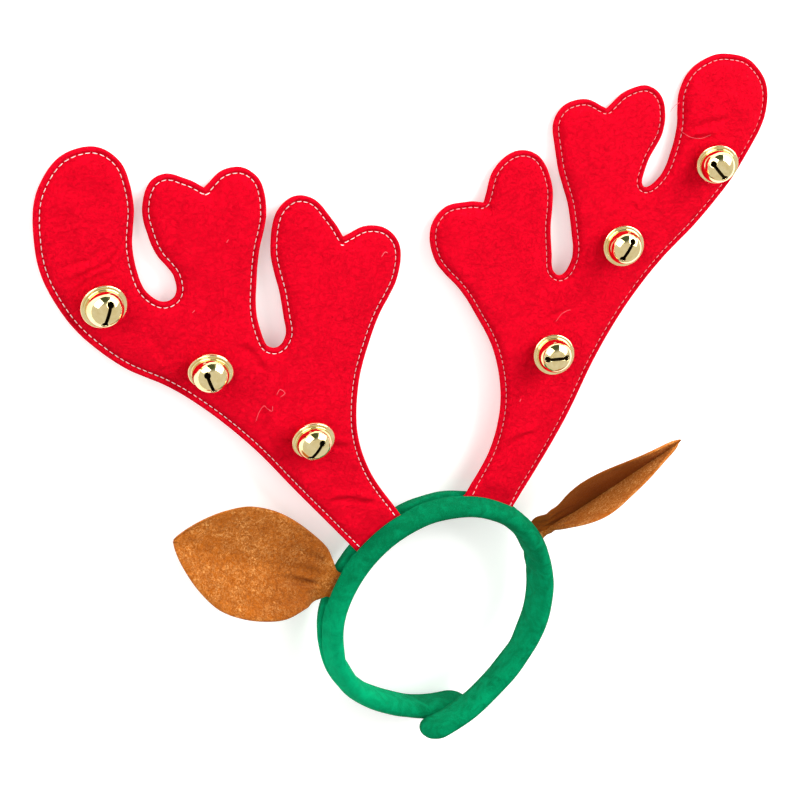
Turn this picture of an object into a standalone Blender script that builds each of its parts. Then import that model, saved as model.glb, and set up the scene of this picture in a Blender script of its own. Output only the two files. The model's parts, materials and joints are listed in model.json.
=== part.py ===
"""Reindeer antler headband, lying on its back.

A green padded band is curled into a ring whose ends pass each other. Two red felt antlers and
two brown ears are sewn into the seam on its outer face, and each antler carries three brass
jingle bells. Everything is drawn in the band's own frame: X to the right as the wearer's front
is looked at, Y up the head, Z to the front. settle() then lays that frame on the floor.
"""

import math

import bmesh
import bpy
from mathutils import Matrix, Vector

MM = 0.001

# The padded band: a strip with rounded sides and a seam along the middle of its outer face
BAND_WIDTH = 22.0
BAND_THICKNESS = 10.0
BAND_SQUARENESS = 0.85
BAND_END_ROUND = 9.0
BAND_STEP_DEG = 5.5
SECTION_ANGLES = (20, 40, 60, 78, 95, 115, 138, 163)
SEAM_HALF_MOUTH = 1.2
SEAM_HALF_FLOOR = 0.3
SEAM_DEPTH = 1.5

# The route of the band's middle line, clockwise from the top as seen from the front
BAND_ROUTE = (
    # angle, radius, forward, roll
    (-197, 71.4, -12.0, 8),
    (-175, 65.0, -11.0, 9),
    (-155, 60.0, -8.4, 5),
    (-130, 58.8, -5.0, 3),
    (-100, 59.1, -2.0, 2),
    (-75, 59.5, 0.0, 0),
    (-40, 58.4, 0.0, 0),
    (-10, 58.2, 0.0, 0),
    (20, 58.4, 0.0, 0),
    (50, 59.5, 0.0, 0),
    (85, 59.4, 0.0, 0),
    (110, 59.5, 0.6, 6),
    (135, 59.1, 2.3, 15),
    (155, 59.2, 5.2, 19),
    (175, 62.3, 8.2, 20),
    (193, 67.0, 9.8, 12),
)

# A pocket is a stretch of the seam that opens to take the root of an antler or an ear
POCKET_DEPTH = 3.6
POCKET_SLACK_DEG = 0.8
SEAT_GAP = 0.35

# The antlers: two felt layers sewn together round their edge
ANTLER_THICKNESS = 3.2
ANTLER_EDGE_CHAMFER = 0.7
ANTLER_EDGE_INSET = 0.6
ANTLER_CURVE_STEPS = 4
ROOT_ARC_STEP_DEG = 7.0

SMOOTH = "AUTO"
CORNER = "VECTOR"

ANTLERS = {
    "antler_left": {
        "root_outer_deg": -45.1,
        "root_inner_deg": -17.2,
        "outline": (
            # x, y, joint
            (-72.0, 82.5, SMOOTH),
            (-99.0, 119.0, SMOOTH),
            (-126.0, 147.0, SMOOTH),
            (-156.5, 170.5, SMOOTH),
            (-177.5, 199.5, SMOOTH),
            (-184.0, 231.0, SMOOTH),
            (-176.0, 258.0, SMOOTH),
            (-160.5, 267.4, SMOOTH),
            (-146.0, 263.0, SMOOTH),
            (-139.0, 245.0, SMOOTH),
            (-140.5, 213.5, SMOOTH),
            (-134.0, 196.0, SMOOTH),
            (-126.5, 193.3, SMOOTH),
            (-123.8, 198.0, SMOOTH),
            (-133.0, 218.5, SMOOTH),
            (-134.5, 242.5, SMOOTH),
            (-127.0, 250.5, SMOOTH),
            (-113.5, 246.5, SMOOTH),
            (-107.0, 242.0, CORNER),
            (-97.0, 248.5, SMOOTH),
            (-84.5, 245.5, SMOOTH),
            (-79.0, 231.5, SMOOTH),
            (-84.5, 202.0, SMOOTH),
            (-84.8, 168.5, SMOOTH),
            (-80.3, 161.3, SMOOTH),
            (-75.7, 162.8, SMOOTH),
            (-74.8, 176.5, SMOOTH),
            (-78.0, 215.5, SMOOTH),
            (-71.0, 229.0, SMOOTH),
            (-60.0, 230.5, SMOOTH),
            (-47.5, 217.0, SMOOTH),
            (-43.0, 208.5, CORNER),
            (-30.0, 211.5, SMOOTH),
            (-17.3, 204.5, SMOOTH),
            (-14.7, 189.0, SMOOTH),
            (-29.0, 161.0, SMOOTH),
            (-39.4, 127.5, SMOOTH),
            (-37.3, 96.0, SMOOTH),
        ),
    },
    "antler_right": {
        "root_outer_deg": 42.8,
        "root_inner_deg": 13.9,
        "outline": (
            # x, y, joint
            (71.5, 87.0, SMOOTH),
            (94.5, 126.5, SMOOTH),
            (121.5, 160.0, SMOOTH),
            (155.0, 188.0, SMOOTH),
            (174.0, 210.5, SMOOTH),
            (186.5, 240.5, SMOOTH),
            (177.5, 259.0, SMOOTH),
            (165.0, 265.3, SMOOTH),
            (150.5, 265.2, SMOOTH),
            (137.5, 256.0, SMOOTH),
            (133.0, 226.0, SMOOTH),
            (121.7, 206.8, SMOOTH),
            (116.2, 206.8, SMOOTH),
            (116.8, 213.5, SMOOTH),
            (128.0, 236.5, SMOOTH),
            (121.5, 254.2, SMOOTH),
            (106.0, 255.5, SMOOTH),
            (94.7, 248.5, CORNER),
            (81.5, 254.7, SMOOTH),
            (67.5, 249.0, SMOOTH),
            (66.7, 231.0, SMOOTH),
            (75.4, 193.5, SMOOTH),
            (73.6, 170.5, SMOOTH),
            (69.3, 169.0, SMOOTH),
            (65.7, 183.5, SMOOTH),
            (63.0, 223.5, SMOOTH),
            (51.5, 234.4, SMOOTH),
            (36.0, 229.7, SMOOTH),
            (28.6, 212.7, CORNER),
            (21.5, 214.2, SMOOTH),
            (5.7, 211.5, SMOOTH),
            (0.4, 195.5, SMOOTH),
            (19.0, 164.5, SMOOTH),
            (34.8, 127.0, SMOOTH),
            (33.5, 90.5, SMOOTH),
        ),
    },
}

# A jingle bell, turned round Z: the rear cup flares into a flange, and the front dome is slotted
BELL_PROFILE = (
    # radius, height above the flange
    (0.0, 10.1),
    (3.2, 9.4),
    (5.9, 7.5),
    (7.5, 4.9),
    (8.0, 2.1),
    (8.4, 0.5),
    (9.4, 0.8),
    (10.1, 0.0),
    (9.8, -1.7),
    (8.7, -4.0),
    (6.6, -6.0),
    (3.6, -7.5),
    (0.0, -8.0),
)
BELL_HOLLOW = (
    # radius, height above the flange
    (0.0, 9.6),
    (4.0, 8.4),
    (6.6, 5.4),
    (7.4, 2.0),
    (7.7, -0.6),
    (8.0, -3.8),
    (5.8, -6.0),
    (0.0, -7.4),
)
BELL_SIDES = 16
BELL_CUP_DEPTH = 8.3
SLOT_HALF_LENGTH = 5.0
SLOT_HALF_WIDTH = 0.6
SLOT_HOLE_RADIUS = 1.4
SLOT_HOLE_SIDES = 8
SLOT_CUTTER_FLOOR = 3.0
SLOT_CUTTER_TOP = 12.0

BELLS = (
    # name, x, y, lean to the right, lean up the head, slot angle
    ("bell_left_1", -159.1, 198.9, -5, 2, 67),
    ("bell_left_2", -113.8, 158.9, -20, -8, 104),
    ("bell_left_3", -66.9, 113.9, -13, -2, 55),
    ("bell_right_1", 61.4, 131.6, -16, 9, -2),
    ("bell_right_2", 99.6, 180.8, -17, 5, 60),
    ("bell_right_3", 151.4, 214.1, -24, -7, 131),
)

# The ears: a leaf of plush whose two halves meet along the midrib
EAR_THICKNESS = 1.6
EAR_ROWS = 15
EAR_COLUMNS = 4
EAR_SEATED_TO = 0.06
EAR_FOLDED_BY = 0.15
EAR_LEAF = (
    # share of the length, half width
    (0.00, 7.0),
    (0.06, 7.4),
    (0.11, 12.0),
    (0.20, 19.6),
    (0.33, 26.5),
    (0.46, 29.3),
    (0.60, 28.0),
    (0.71, 23.5),
    (0.83, 16.5),
    (0.93, 8.5),
    (1.00, 0.8),
)
EARS = {
    # lead and sway place the midrib's guide point, outwards and up from the seat
    "ear_left": {
        "seat_deg": -63.0, "lead": 65.0, "sway": 2.0, "tip": (-135.6, 74.3, 0.0),
        "upper_fold_deg": 3.0, "lower_fold_deg": 46.0,
    },
    "ear_right": {
        "seat_deg": 63.0, "lead": 36.0, "sway": -6.5, "tip": (127.7, 76.3, 23.9),
        "upper_fold_deg": 31.0, "lower_fold_deg": 108.7,
    },
}
EAR_ROOT_HALF_DEG = 7.6

# How it is laid down: the lean of the head's direction is found by halving, up to this much
TIPS_FROM_Y = 140.0
STEEPEST_LEAN_DEG = -10.0
LEAN_HALVINGS = 40

FINISHES = {
    # name: colour, roughness, metallic
    "green_plush": ((0.0, 0.26, 0.10, 1.0), 0.95, 0.0),
    "red_felt": ((0.80, 0.0, 0.02, 1.0), 0.9, 0.0),
    "brass": ((0.95, 0.78, 0.38, 1.0), 0.15, 1.0),
    "brown_plush": ((0.36, 0.12, 0.02, 1.0), 0.85, 0.0),
}


def clear_scene():
    """Remove every object that the file opens with."""
    for item in list(bpy.data.objects):
        bpy.data.objects.remove(item, do_unlink=True)


def smooth_read(table, at, column):
    """Read a column of a table at any value of its first column, on a smooth curve."""
    keys = [row[0] for row in table]
    values = [row[column] for row in table]
    last = len(keys) - 1
    at = min(max(at, keys[0]), keys[last])
    i = max(k for k in range(last) if keys[k] <= at)

    def slope(k):
        before, after = max(k - 1, 0), min(k + 1, last)
        return (values[after] - values[before]) / (keys[after] - keys[before])

    span = keys[i + 1] - keys[i]
    t = (at - keys[i]) / span
    rise = values[i + 1] - values[i]
    start, end = slope(i) * span, slope(i + 1) * span
    return values[i] + t * start + t * t * (3 * rise - 2 * start - end) + t ** 3 * (start + end - 2 * rise)


def outward(degrees):
    """The direction away from the ring's centre at an angle from its top."""
    angle = math.radians(degrees)
    return Vector((math.sin(angle), math.cos(angle), 0.0))


def band_centre(degrees):
    """A point of the band's middle line."""
    radius = smooth_read(BAND_ROUTE, degrees, 1)
    return outward(degrees) * radius + Vector((0.0, 0.0, smooth_read(BAND_ROUTE, degrees, 2)))


def seat_radius(degrees):
    """How far from the ring's centre the root of a sewn-in piece ends."""
    return smooth_read(BAND_ROUTE, degrees, 1) + BAND_THICKNESS / 2 - POCKET_DEPTH + SEAT_GAP


def pockets():
    """The stretches of the seam that are open, as (start, end, half width) in degrees and mm."""
    stretches = []
    for antler in ANTLERS.values():
        ends = sorted((antler["root_outer_deg"], antler["root_inner_deg"]))
        stretches.append((ends[0], ends[1], ANTLER_THICKNESS / 2 + SEAT_GAP))
    for ear in EARS.values():
        seat = ear["seat_deg"]
        stretches.append((seat - EAR_ROOT_HALF_DEG, seat + EAR_ROOT_HALF_DEG, ANTLER_THICKNESS / 2 + SEAT_GAP))
    return stretches


def seam_shape(degrees):
    """Half width of the seam at its mouth and floor, and its depth, at one place of the band."""
    for start, end, half_width in pockets():
        if start - POCKET_SLACK_DEG <= degrees <= end + POCKET_SLACK_DEG:
            return half_width, half_width, POCKET_DEPTH
    return SEAM_HALF_MOUTH, SEAM_HALF_FLOOR, SEAM_DEPTH


def band_section(mouth, floor, depth):
    """The band's section as (outwards, forwards) pairs, from the seam round to the seam."""
    half_thickness, half_width = BAND_THICKNESS / 2, BAND_WIDTH / 2

    def rounded(value):
        return math.copysign(abs(value) ** BAND_SQUARENESS, value)

    side = []
    for degrees in SECTION_ANGLES:
        angle = math.radians(degrees)
        side.append((half_thickness * rounded(math.cos(angle)), half_width * rounded(math.sin(angle))))
    lip = half_thickness - 0.1
    front = [(half_thickness - depth, floor), (lip, mouth)] + side
    back = [(out, -forward) for out, forward in reversed(front)]
    return front + back


def band_stations():
    """The angles at which the band has a section, closer at its ends and at each pocket."""
    first, last = BAND_ROUTE[0][0], BAND_ROUTE[-1][0]
    count = round((last - first) / BAND_STEP_DEG)
    stations = [first + (last - first) * i / count for i in range(count + 1)]
    step = 0.25
    for start, end, _ in pockets():
        low, high = start - POCKET_SLACK_DEG, end + POCKET_SLACK_DEG
        stations = [s for s in stations if min(abs(s - low), abs(s - high)) > 1.5]
        stations += [low - step, low, high, high + step]
    for ahead in (0.5, 1.6, 3.4):
        stations += [first + ahead, last - ahead]
    return sorted(stations)


def band_rings():
    """The band's sections in place, as rings of points."""
    stations = band_stations()
    centres = [band_centre(s) for s in stations]
    lengths = [0.0]
    for a, b in zip(centres, centres[1:]):
        lengths.append(lengths[-1] + (b - a).length)
    rings = []
    for i, degrees in enumerate(stations):
        along = (band_centre(degrees + 0.5) - band_centre(degrees - 0.5)).normalized()
        out = outward(degrees)
        out = (out - along * out.dot(along)).normalized()
        forward = out.cross(along)
        if forward.z < 0:
            forward = -forward
        roll = math.radians(smooth_read(BAND_ROUTE, degrees, 3))
        rolled_out = out * math.cos(roll) + forward * math.sin(roll)
        rolled_forward = forward * math.cos(roll) - out * math.sin(roll)
        to_end = min(lengths[i], lengths[-1] - lengths[i])
        short = max(0.0, 1.0 - to_end / BAND_END_ROUND)
        scale = max(0.12, math.sqrt(1.0 - short * short))
        ring = []
        for out_mm, forward_mm in band_section(*seam_shape(degrees)):
            ring.append(centres[i] + (rolled_out * out_mm + rolled_forward * forward_mm) * scale)
        rings.append(ring)
    return rings


def link(name, mesh, collection, finish):
    """Make an object of a mesh, give it its finish and put it in the collection."""
    item = bpy.data.objects.new(name, mesh)
    collection.objects.link(item)
    if finish:
        mesh.materials.append(material(finish))
    return item


def material(name):
    """The Principled material of a finish, made once."""
    known = bpy.data.materials.get(name)
    if known:
        return known
    colour, roughness, metallic = FINISHES[name]
    made = bpy.data.materials.new(name)
    made.use_nodes = True
    shader = made.node_tree.nodes["Principled BSDF"]
    shader.inputs["Base Color"].default_value = colour
    shader.inputs["Roughness"].default_value = roughness
    shader.inputs["Metallic"].default_value = metallic
    return made


def shade(mesh, degrees=40):
    """Shade a mesh smooth, with its real edges kept sharp."""
    mesh.shade_smooth()
    mesh.set_sharp_from_angle(angle=math.radians(degrees))


def make_band(collection):
    """Loft the band through its sections and close its two ends."""
    bm = bmesh.new()
    rings = [[bm.verts.new(point * MM) for point in ring] for ring in band_rings()]
    count = len(rings[0])
    for near, far in zip(rings, rings[1:]):
        for i in range(count):
            j = (i + 1) % count
            bm.faces.new((near[i], near[j], far[j], far[i]))
    for ring in (rings[0], rings[-1]):
        middle = bm.verts.new(sum((v.co for v in ring), Vector()) / count)
        for i in range(count):
            bm.faces.new((ring[i], ring[(i + 1) % count], middle))
    bmesh.ops.recalc_face_normals(bm, faces=bm.faces)
    mesh = bpy.data.meshes.new("headband")
    bm.to_mesh(mesh)
    bm.free()
    shade(mesh)
    return link("headband", mesh, collection, "green_plush")


def antler_outline(antler):
    """The antler's closed outline: the table, then an arc along the floor of its pocket."""
    inner, outer = antler["root_inner_deg"], antler["root_outer_deg"]
    steps = round(abs(outer - inner) / ROOT_ARC_STEP_DEG)
    root = []
    for i in range(steps + 1):
        degrees = inner + (outer - inner) * i / steps
        point = outward(degrees) * seat_radius(degrees)
        root.append((point.x, point.y, CORNER if i in (0, steps) else SMOOTH))
    return list(antler["outline"]) + root


def make_antler(name, antler, collection):
    """Extrude the outline as a flat curve, make it a mesh and chamfer its edges."""
    points = antler_outline(antler)
    curve = bpy.data.curves.new(name + "_outline", "CURVE")
    curve.dimensions = "2D"
    curve.fill_mode = "BOTH"
    curve.extrude = ANTLER_THICKNESS / 2 * MM
    curve.offset = -ANTLER_EDGE_INSET * MM
    curve.resolution_u = ANTLER_CURVE_STEPS
    spline = curve.splines.new("BEZIER")
    spline.bezier_points.add(len(points) - 1)
    spline.use_cyclic_u = True
    for knot, (x, y, joint) in zip(spline.bezier_points, points):
        knot.co = (x * MM, y * MM, 0.0)
        knot.handle_left_type = joint
        knot.handle_right_type = joint
    guide = bpy.data.objects.new(name + "_outline", curve)
    collection.objects.link(guide)
    mesh = flatten(guide, name)
    item = link(name, mesh, collection, "red_felt")
    bevel = item.modifiers.new("edge", "BEVEL")
    bevel.width = ANTLER_EDGE_CHAMFER * MM
    bevel.segments = 1
    bevel.limit_method = "ANGLE"
    bevel.angle_limit = math.radians(60)
    shade(mesh, 30)
    return item


def flatten(item, name):
    """Replace an object by the mesh that its curve or modifiers make, with its seams welded."""
    bpy.context.view_layer.update()
    evaluated = item.evaluated_get(bpy.context.evaluated_depsgraph_get())
    mesh = bpy.data.meshes.new_from_object(evaluated)
    mesh.name = name
    bm = bmesh.new()
    bm.from_mesh(mesh)
    bmesh.ops.remove_doubles(bm, verts=bm.verts, dist=0.00001)
    bmesh.ops.recalc_face_normals(bm, faces=bm.faces)
    bm.to_mesh(mesh)
    bm.free()
    mesh.materials.clear()
    bpy.data.objects.remove(item, do_unlink=True)
    return mesh


def slot_outline():
    """The dumbbell outline of the slot: a narrow slit between two round holes."""
    reach = math.degrees(math.asin(SLOT_HALF_WIDTH / SLOT_HOLE_RADIUS))
    points = []
    for side in (1, -1):
        for i in range(SLOT_HOLE_SIDES + 1):
            sweep = -180 + reach + (360 - 2 * reach) * i / SLOT_HOLE_SIDES
            angle = math.radians(sweep if side > 0 else sweep + 180)
            x = side * SLOT_HALF_LENGTH + SLOT_HOLE_RADIUS * math.cos(angle)
            points.append((x, SLOT_HOLE_RADIUS * math.sin(angle)))
    return points


def make_slot_cutter(collection):
    """A prism on the slot's outline that cuts the front dome only."""
    bm = bmesh.new()
    base = [bm.verts.new((x * MM, y * MM, SLOT_CUTTER_FLOOR * MM)) for x, y in slot_outline()]
    face = bm.faces.new(base)
    raised = bmesh.ops.extrude_face_region(bm, geom=[face])
    tops = [item for item in raised["geom"] if isinstance(item, bmesh.types.BMVert)]
    lift = (SLOT_CUTTER_TOP - SLOT_CUTTER_FLOOR) * MM
    bmesh.ops.translate(bm, verts=tops, vec=(0.0, 0.0, lift))
    bmesh.ops.recalc_face_normals(bm, faces=bm.faces)
    mesh = bpy.data.meshes.new("slot_cutter")
    bm.to_mesh(mesh)
    bm.free()
    cutter = link("slot_cutter", mesh, collection, None)
    cutter.hide_render = True
    cutter.display_type = "WIRE"
    return cutter


def turned(name, profile, collection):
    """Turn a profile of radius and height round Z."""
    bm = bmesh.new()
    line = [bm.verts.new((radius * MM, 0.0, height * MM)) for radius, height in profile]
    for a, b in zip(line, line[1:]):
        bm.edges.new((a, b))
    mesh = bpy.data.meshes.new(name)
    bm.to_mesh(mesh)
    bm.free()
    item = link(name, mesh, collection, None)
    turn = item.modifiers.new("turn", "SCREW")
    turn.steps = BELL_SIDES
    turn.render_steps = BELL_SIDES
    turn.use_merge_vertices = True
    turn.merge_threshold = 0.00001
    return item


def bell_mesh(parts, cutters):
    """Turn the bell, hollow it and cut its slot."""
    bell = turned("bell_body", BELL_PROFILE, parts)
    hollow = turned("bell_hollow", BELL_HOLLOW, cutters)
    hollow.hide_render = True
    hollow.display_type = "WIRE"
    slot = make_slot_cutter(cutters)
    for cutter in (hollow, slot):
        cut = bell.modifiers.new(cutter.name, "BOOLEAN")
        cut.operation = "DIFFERENCE"
        cut.object = cutter
    made = flatten(bell, "jingle_bell")
    for cutter in (hollow, slot):
        bpy.data.objects.remove(cutter, do_unlink=True)
    made.materials.append(material("brass"))
    shade(made, 35)
    return made


def bell_place(x, y, lean_right, lean_up, slot_angle):
    """Where a bell sits: its cup on the felt, leaning, with its slot turned."""
    across, up = math.sin(math.radians(lean_right)), math.sin(math.radians(lean_up))
    axis = Vector((across, up, math.sqrt(1.0 - across * across - up * up)))
    along = outward(90.0 - slot_angle)
    along = (along - axis * along.dot(axis)).normalized()
    height = ANTLER_THICKNESS / 2 + SEAT_GAP + BELL_CUP_DEPTH
    facing = Matrix((along, axis.cross(along), axis)).transposed().to_4x4()
    return Matrix.Translation(Vector((x, y, height)) * MM) @ facing


def make_bells(collection, cutters):
    """Put the six bells on the antlers; they share one mesh."""
    mesh = bell_mesh(collection, cutters)
    bells = []
    for name, x, y, lean_right, lean_up, slot_angle in BELLS:
        bell = bpy.data.objects.new(name, mesh)
        collection.objects.link(bell)
        bell.matrix_local = bell_place(x, y, lean_right, lean_up, slot_angle)
        bells.append(bell)
    return bells


def ear_midrib(ear, share):
    """A point of the ear's midrib and the rib's direction there."""
    out = outward(ear["seat_deg"])
    seat = out * seat_radius(ear["seat_deg"])
    up = Vector((abs(out.y), abs(out.x), 0.0))
    if out.x * up.x + out.y * up.y > 0 and out.x > 0:
        up.x = -up.x
    guide = seat + out * ear["lead"] + up * ear["sway"]
    tip = Vector(ear["tip"])
    rest = 1.0 - share
    point = seat * rest * rest + guide * 2 * share * rest + tip * share * share
    heading = (guide - seat) * 2 * rest + (tip - guide) * 2 * share
    return point, heading.normalized()


def ear_row(ear, share):
    """One row of the ear's leaf, from the edge of its lower half to that of its upper half."""
    point, along = ear_midrib(ear, share)
    progress = min(max((share - EAR_SEATED_TO) / (EAR_FOLDED_BY - EAR_SEATED_TO), 0.0), 1.0)
    fold = progress * progress * (3 - 2 * progress)
    along = outward(ear["seat_deg"]).lerp(along, fold).normalized()
    forward = Vector((0.0, 0.0, 1.0))
    forward = (forward - along * forward.dot(along)).normalized()
    up = forward.cross(along)
    if up.y < 0:
        up = -up
    width = smooth_read(EAR_LEAF, share, 1)
    upper = math.radians(ear["upper_fold_deg"]) * fold
    lower = math.radians(ear["lower_fold_deg"]) * fold
    to_upper = up * math.cos(upper) + forward * math.sin(upper)
    to_lower = forward * math.sin(lower) - up * math.cos(lower)
    row = [point + to_lower * width * (EAR_COLUMNS - i) / EAR_COLUMNS for i in range(EAR_COLUMNS)]
    row += [point + to_upper * width * i / EAR_COLUMNS for i in range(EAR_COLUMNS + 1)]
    return row


def make_ear(name, ear, collection):
    """Build the leaf as a grid along its midrib and thicken it."""
    bm = bmesh.new()
    shares = [0.0]
    for i in range(EAR_ROWS + 1):
        shares.append(EAR_SEATED_TO + (1.0 - EAR_SEATED_TO) * i / EAR_ROWS)
    rows = [[bm.verts.new(p * MM) for p in ear_row(ear, share)] for share in shares]
    for near, far in zip(rows, rows[1:]):
        for i in range(len(near) - 1):
            bm.faces.new((near[i], near[i + 1], far[i + 1], far[i]))
    bmesh.ops.recalc_face_normals(bm, faces=bm.faces)
    mesh = bpy.data.meshes.new(name)
    bm.to_mesh(mesh)
    bm.free()
    item = link(name, mesh, collection, "brown_plush")
    plush = item.modifiers.new("plush", "SOLIDIFY")
    plush.thickness = EAR_THICKNESS * MM
    plush.offset = 0.0
    plush.use_even_offset = True
    shade(mesh, 40)
    return item


def surface_points(item):
    """The evaluated points of an object, in its parent's frame."""
    evaluated = item.evaluated_get(bpy.context.evaluated_depsgraph_get())
    mesh = evaluated.to_mesh()
    points = [item.matrix_local @ v.co for v in mesh.vertices]
    evaluated.to_mesh_clear()
    return points


def settle(root, pieces):
    """Lay the headband on its back, centred, with its low end and the antlers' tips on the floor."""
    bpy.context.view_layer.update()
    points = [point for piece in pieces for point in surface_points(piece)]
    low_half = [p for p in points if p.y < 0]
    tips = [p for p in points if p.y > TIPS_FROM_Y * MM]

    def lowest(group, tilt):
        return min(p.y * math.sin(tilt) + p.z * math.cos(tilt) for p in group)

    shallow, steep = math.radians(STEEPEST_LEAN_DEG), 0.0
    for _ in range(LEAN_HALVINGS):
        tilt = (shallow + steep) / 2
        if lowest(tips, tilt) < lowest(low_half, tilt):
            shallow = tilt
        else:
            steep = tilt
    turn = Matrix.Rotation(tilt, 3, "X")
    laid = [turn @ p for p in points]
    middle_x = (min(p.x for p in laid) + max(p.x for p in laid)) / 2
    middle_y = (min(p.y for p in laid) + max(p.y for p in laid)) / 2
    root.rotation_euler = (tilt, 0.0, 0.0)
    root.location = (-middle_x, -middle_y, -min(p.z for p in laid))


def build():
    """Build the headband and lay it down."""
    clear_scene()
    parts = bpy.data.collections.new("antler_headband")
    cutters = bpy.data.collections.new("cutters")
    bpy.context.scene.collection.children.link(parts)
    bpy.context.scene.collection.children.link(cutters)
    root = bpy.data.objects.new("band_frame", None)
    parts.objects.link(root)
    pieces = [make_band(parts)]
    for name, antler in ANTLERS.items():
        pieces.append(make_antler(name, antler, parts))
    pieces += make_bells(parts, cutters)
    for name, ear in EARS.items():
        pieces.append(make_ear(name, ear, parts))
    settle(root, pieces)
    for piece in pieces:
        piece.parent = root
    bpy.context.view_layer.update()


build()
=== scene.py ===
"""The finish of the reindeer antler headband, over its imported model.

The headband lies on its back. A green plush band is curled into a ring, red felt antlers with
white edge stitching and six brass jingle bells stand out of its seam, and so do two brown ears.
Every piece is drawn in millimetres in the band's own frame, with X to the right as the wearer's
front is looked at, Y up the head and Z to the front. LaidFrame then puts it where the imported
model lies.
"""

from __future__ import annotations

import json
import logging
import math
from dataclasses import dataclass, field
from enum import Enum
from typing import Callable

import bmesh
import bpy
import numpy as np
from bpy.types import Material, Node, NodeSocket, NodeTree, Object
from mathutils import Matrix, Vector
from mathutils.geometry import delaunay_2d_cdt
from mathutils.kdtree import KDTree

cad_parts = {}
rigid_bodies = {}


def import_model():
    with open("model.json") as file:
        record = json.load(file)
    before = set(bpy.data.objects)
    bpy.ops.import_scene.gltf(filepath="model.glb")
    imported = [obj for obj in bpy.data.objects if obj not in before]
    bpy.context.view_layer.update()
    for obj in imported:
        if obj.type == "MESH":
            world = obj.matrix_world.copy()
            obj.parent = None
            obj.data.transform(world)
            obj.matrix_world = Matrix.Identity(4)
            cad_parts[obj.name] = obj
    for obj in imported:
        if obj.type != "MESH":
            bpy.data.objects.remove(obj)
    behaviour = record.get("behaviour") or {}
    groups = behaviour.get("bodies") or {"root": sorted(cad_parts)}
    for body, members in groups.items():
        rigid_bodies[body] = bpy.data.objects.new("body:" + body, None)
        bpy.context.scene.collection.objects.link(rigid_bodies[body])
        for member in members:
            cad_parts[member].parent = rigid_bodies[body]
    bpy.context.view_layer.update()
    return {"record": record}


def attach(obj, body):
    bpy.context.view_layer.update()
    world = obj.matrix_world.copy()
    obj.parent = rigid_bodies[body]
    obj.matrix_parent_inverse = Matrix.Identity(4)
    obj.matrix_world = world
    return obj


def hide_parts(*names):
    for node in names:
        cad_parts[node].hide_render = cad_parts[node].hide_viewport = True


LOG = logging.getLogger("headband")
MM = 0.001
BODY = "root"
CIRCLE = 2 * math.pi
TRIANGLE_ROW = 0.866
Array = np.ndarray
Triple = tuple[float, float, float]
Faces = list[tuple[int, ...]]


class Slot(Enum):
    """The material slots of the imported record."""

    PLUSH = "green_plush"
    FELT = "red_felt"
    BRASS = "brass"
    EAR = "brown_plush"


class Face(Enum):
    """The two faces of a felt antler; the value is the side of the ring's plane."""

    FRONT = 1
    BACK = -1


@dataclass(frozen=True)
class Table:
    """A smooth curve through a short table of values.

    Args:
        keys: Where the values are given, rising.
        values: The value at each key.
    """

    keys: tuple[float, ...]
    values: tuple[float, ...]

    def at(self, where: Array | float) -> Array:
        """Read the curve.

        Args:
            where: One place or many; places beyond the ends read as the ends.

        Returns:
            The curve's value at each place.
        """
        keys, values = np.array(self.keys), np.array(self.values)
        places = np.clip(np.asarray(where, float), keys[0], keys[-1])
        index = np.clip(np.searchsorted(keys, places, side="right") - 1, 0, len(keys) - 2)
        padded_keys = np.r_[keys[0], keys, keys[-1]]
        padded_values = np.r_[values[0], values, values[-1]]
        slopes = (padded_values[2:] - padded_values[:-2]) / (padded_keys[2:] - padded_keys[:-2])
        span = keys[index + 1] - keys[index]
        t = (places - keys[index]) / span
        rise = values[index + 1] - values[index]
        start, end = slopes[index] * span, slopes[index + 1] * span
        curve = t * t * (3 * rise - 2 * start - end) + t**3 * (start + end - 2 * rise)
        return values[index] + t * start + curve


@dataclass(frozen=True)
class Ripples:
    """A smooth random height over a plane, summed from a few waves.

    Args:
        height: The largest height, roughly, in the caller's units.
        length: The middle wavelength.
        seed: What makes this pattern differ from another.
        waves: How many waves are summed.
    """

    height: float
    length: float
    seed: int
    waves: int = 9

    def at(self, x: Array, y: Array) -> Array:
        """Return the height at each point of the plane."""
        random = np.random.default_rng(self.seed)
        total = np.zeros_like(np.asarray(x, float))
        for _ in range(self.waves):
            heading = random.uniform(0, 2 * math.pi)
            wave = 2 * math.pi / (self.length * random.uniform(0.6, 1.7))
            phase = random.uniform(0, 2 * math.pi)
            total += np.sin(wave * (np.cos(heading) * x + np.sin(heading) * y) + phase)
        return total * self.height / math.sqrt(self.waves)


def ease(value: Array | float, low: float, high: float) -> Array:
    """Rise smoothly from 0 at low to 1 at high."""
    t = np.clip((np.asarray(value, float) - low) / (high - low), 0.0, 1.0)
    return t * t * (3 - 2 * t)


def bump(value: Array, middle: float, width: float) -> Array:
    """A smooth hill of height 1 at a middle value."""
    return np.exp(-(((value - middle) / width) ** 2))


def outward(degrees: Array | float) -> Array:
    """The direction away from the ring's centre at each angle from its top, clockwise."""
    angle = np.radians(np.asarray(degrees, float))
    return np.stack((np.sin(angle), np.cos(angle), np.zeros_like(angle)), axis=-1)


@dataclass(frozen=True)
class LaidFrame:
    """Where the band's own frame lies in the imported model.

    Args:
        at_mount: The antler's back mount in the band's own frame, in millimetres.
    """

    at_mount: Triple = (-105.0, 200.0, -1.6)

    def matrix(self, record: dict) -> Matrix:
        """Work out the frame from the mount on the antler's flat back.

        Args:
            record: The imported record.

        Returns:
            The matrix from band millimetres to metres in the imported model.
        """
        mount = record["mounts"][0]
        front = -Vector(mount["axis"]).normalized()
        lean = Matrix.Rotation(math.atan2(-front.y, front.z), 3, "X")
        place = Vector(mount["pos_m"]) - lean @ (Vector(self.at_mount) * MM)
        return Matrix.Translation(place) @ lean.to_4x4() @ Matrix.Scale(MM, 4)


# Finishes


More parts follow.
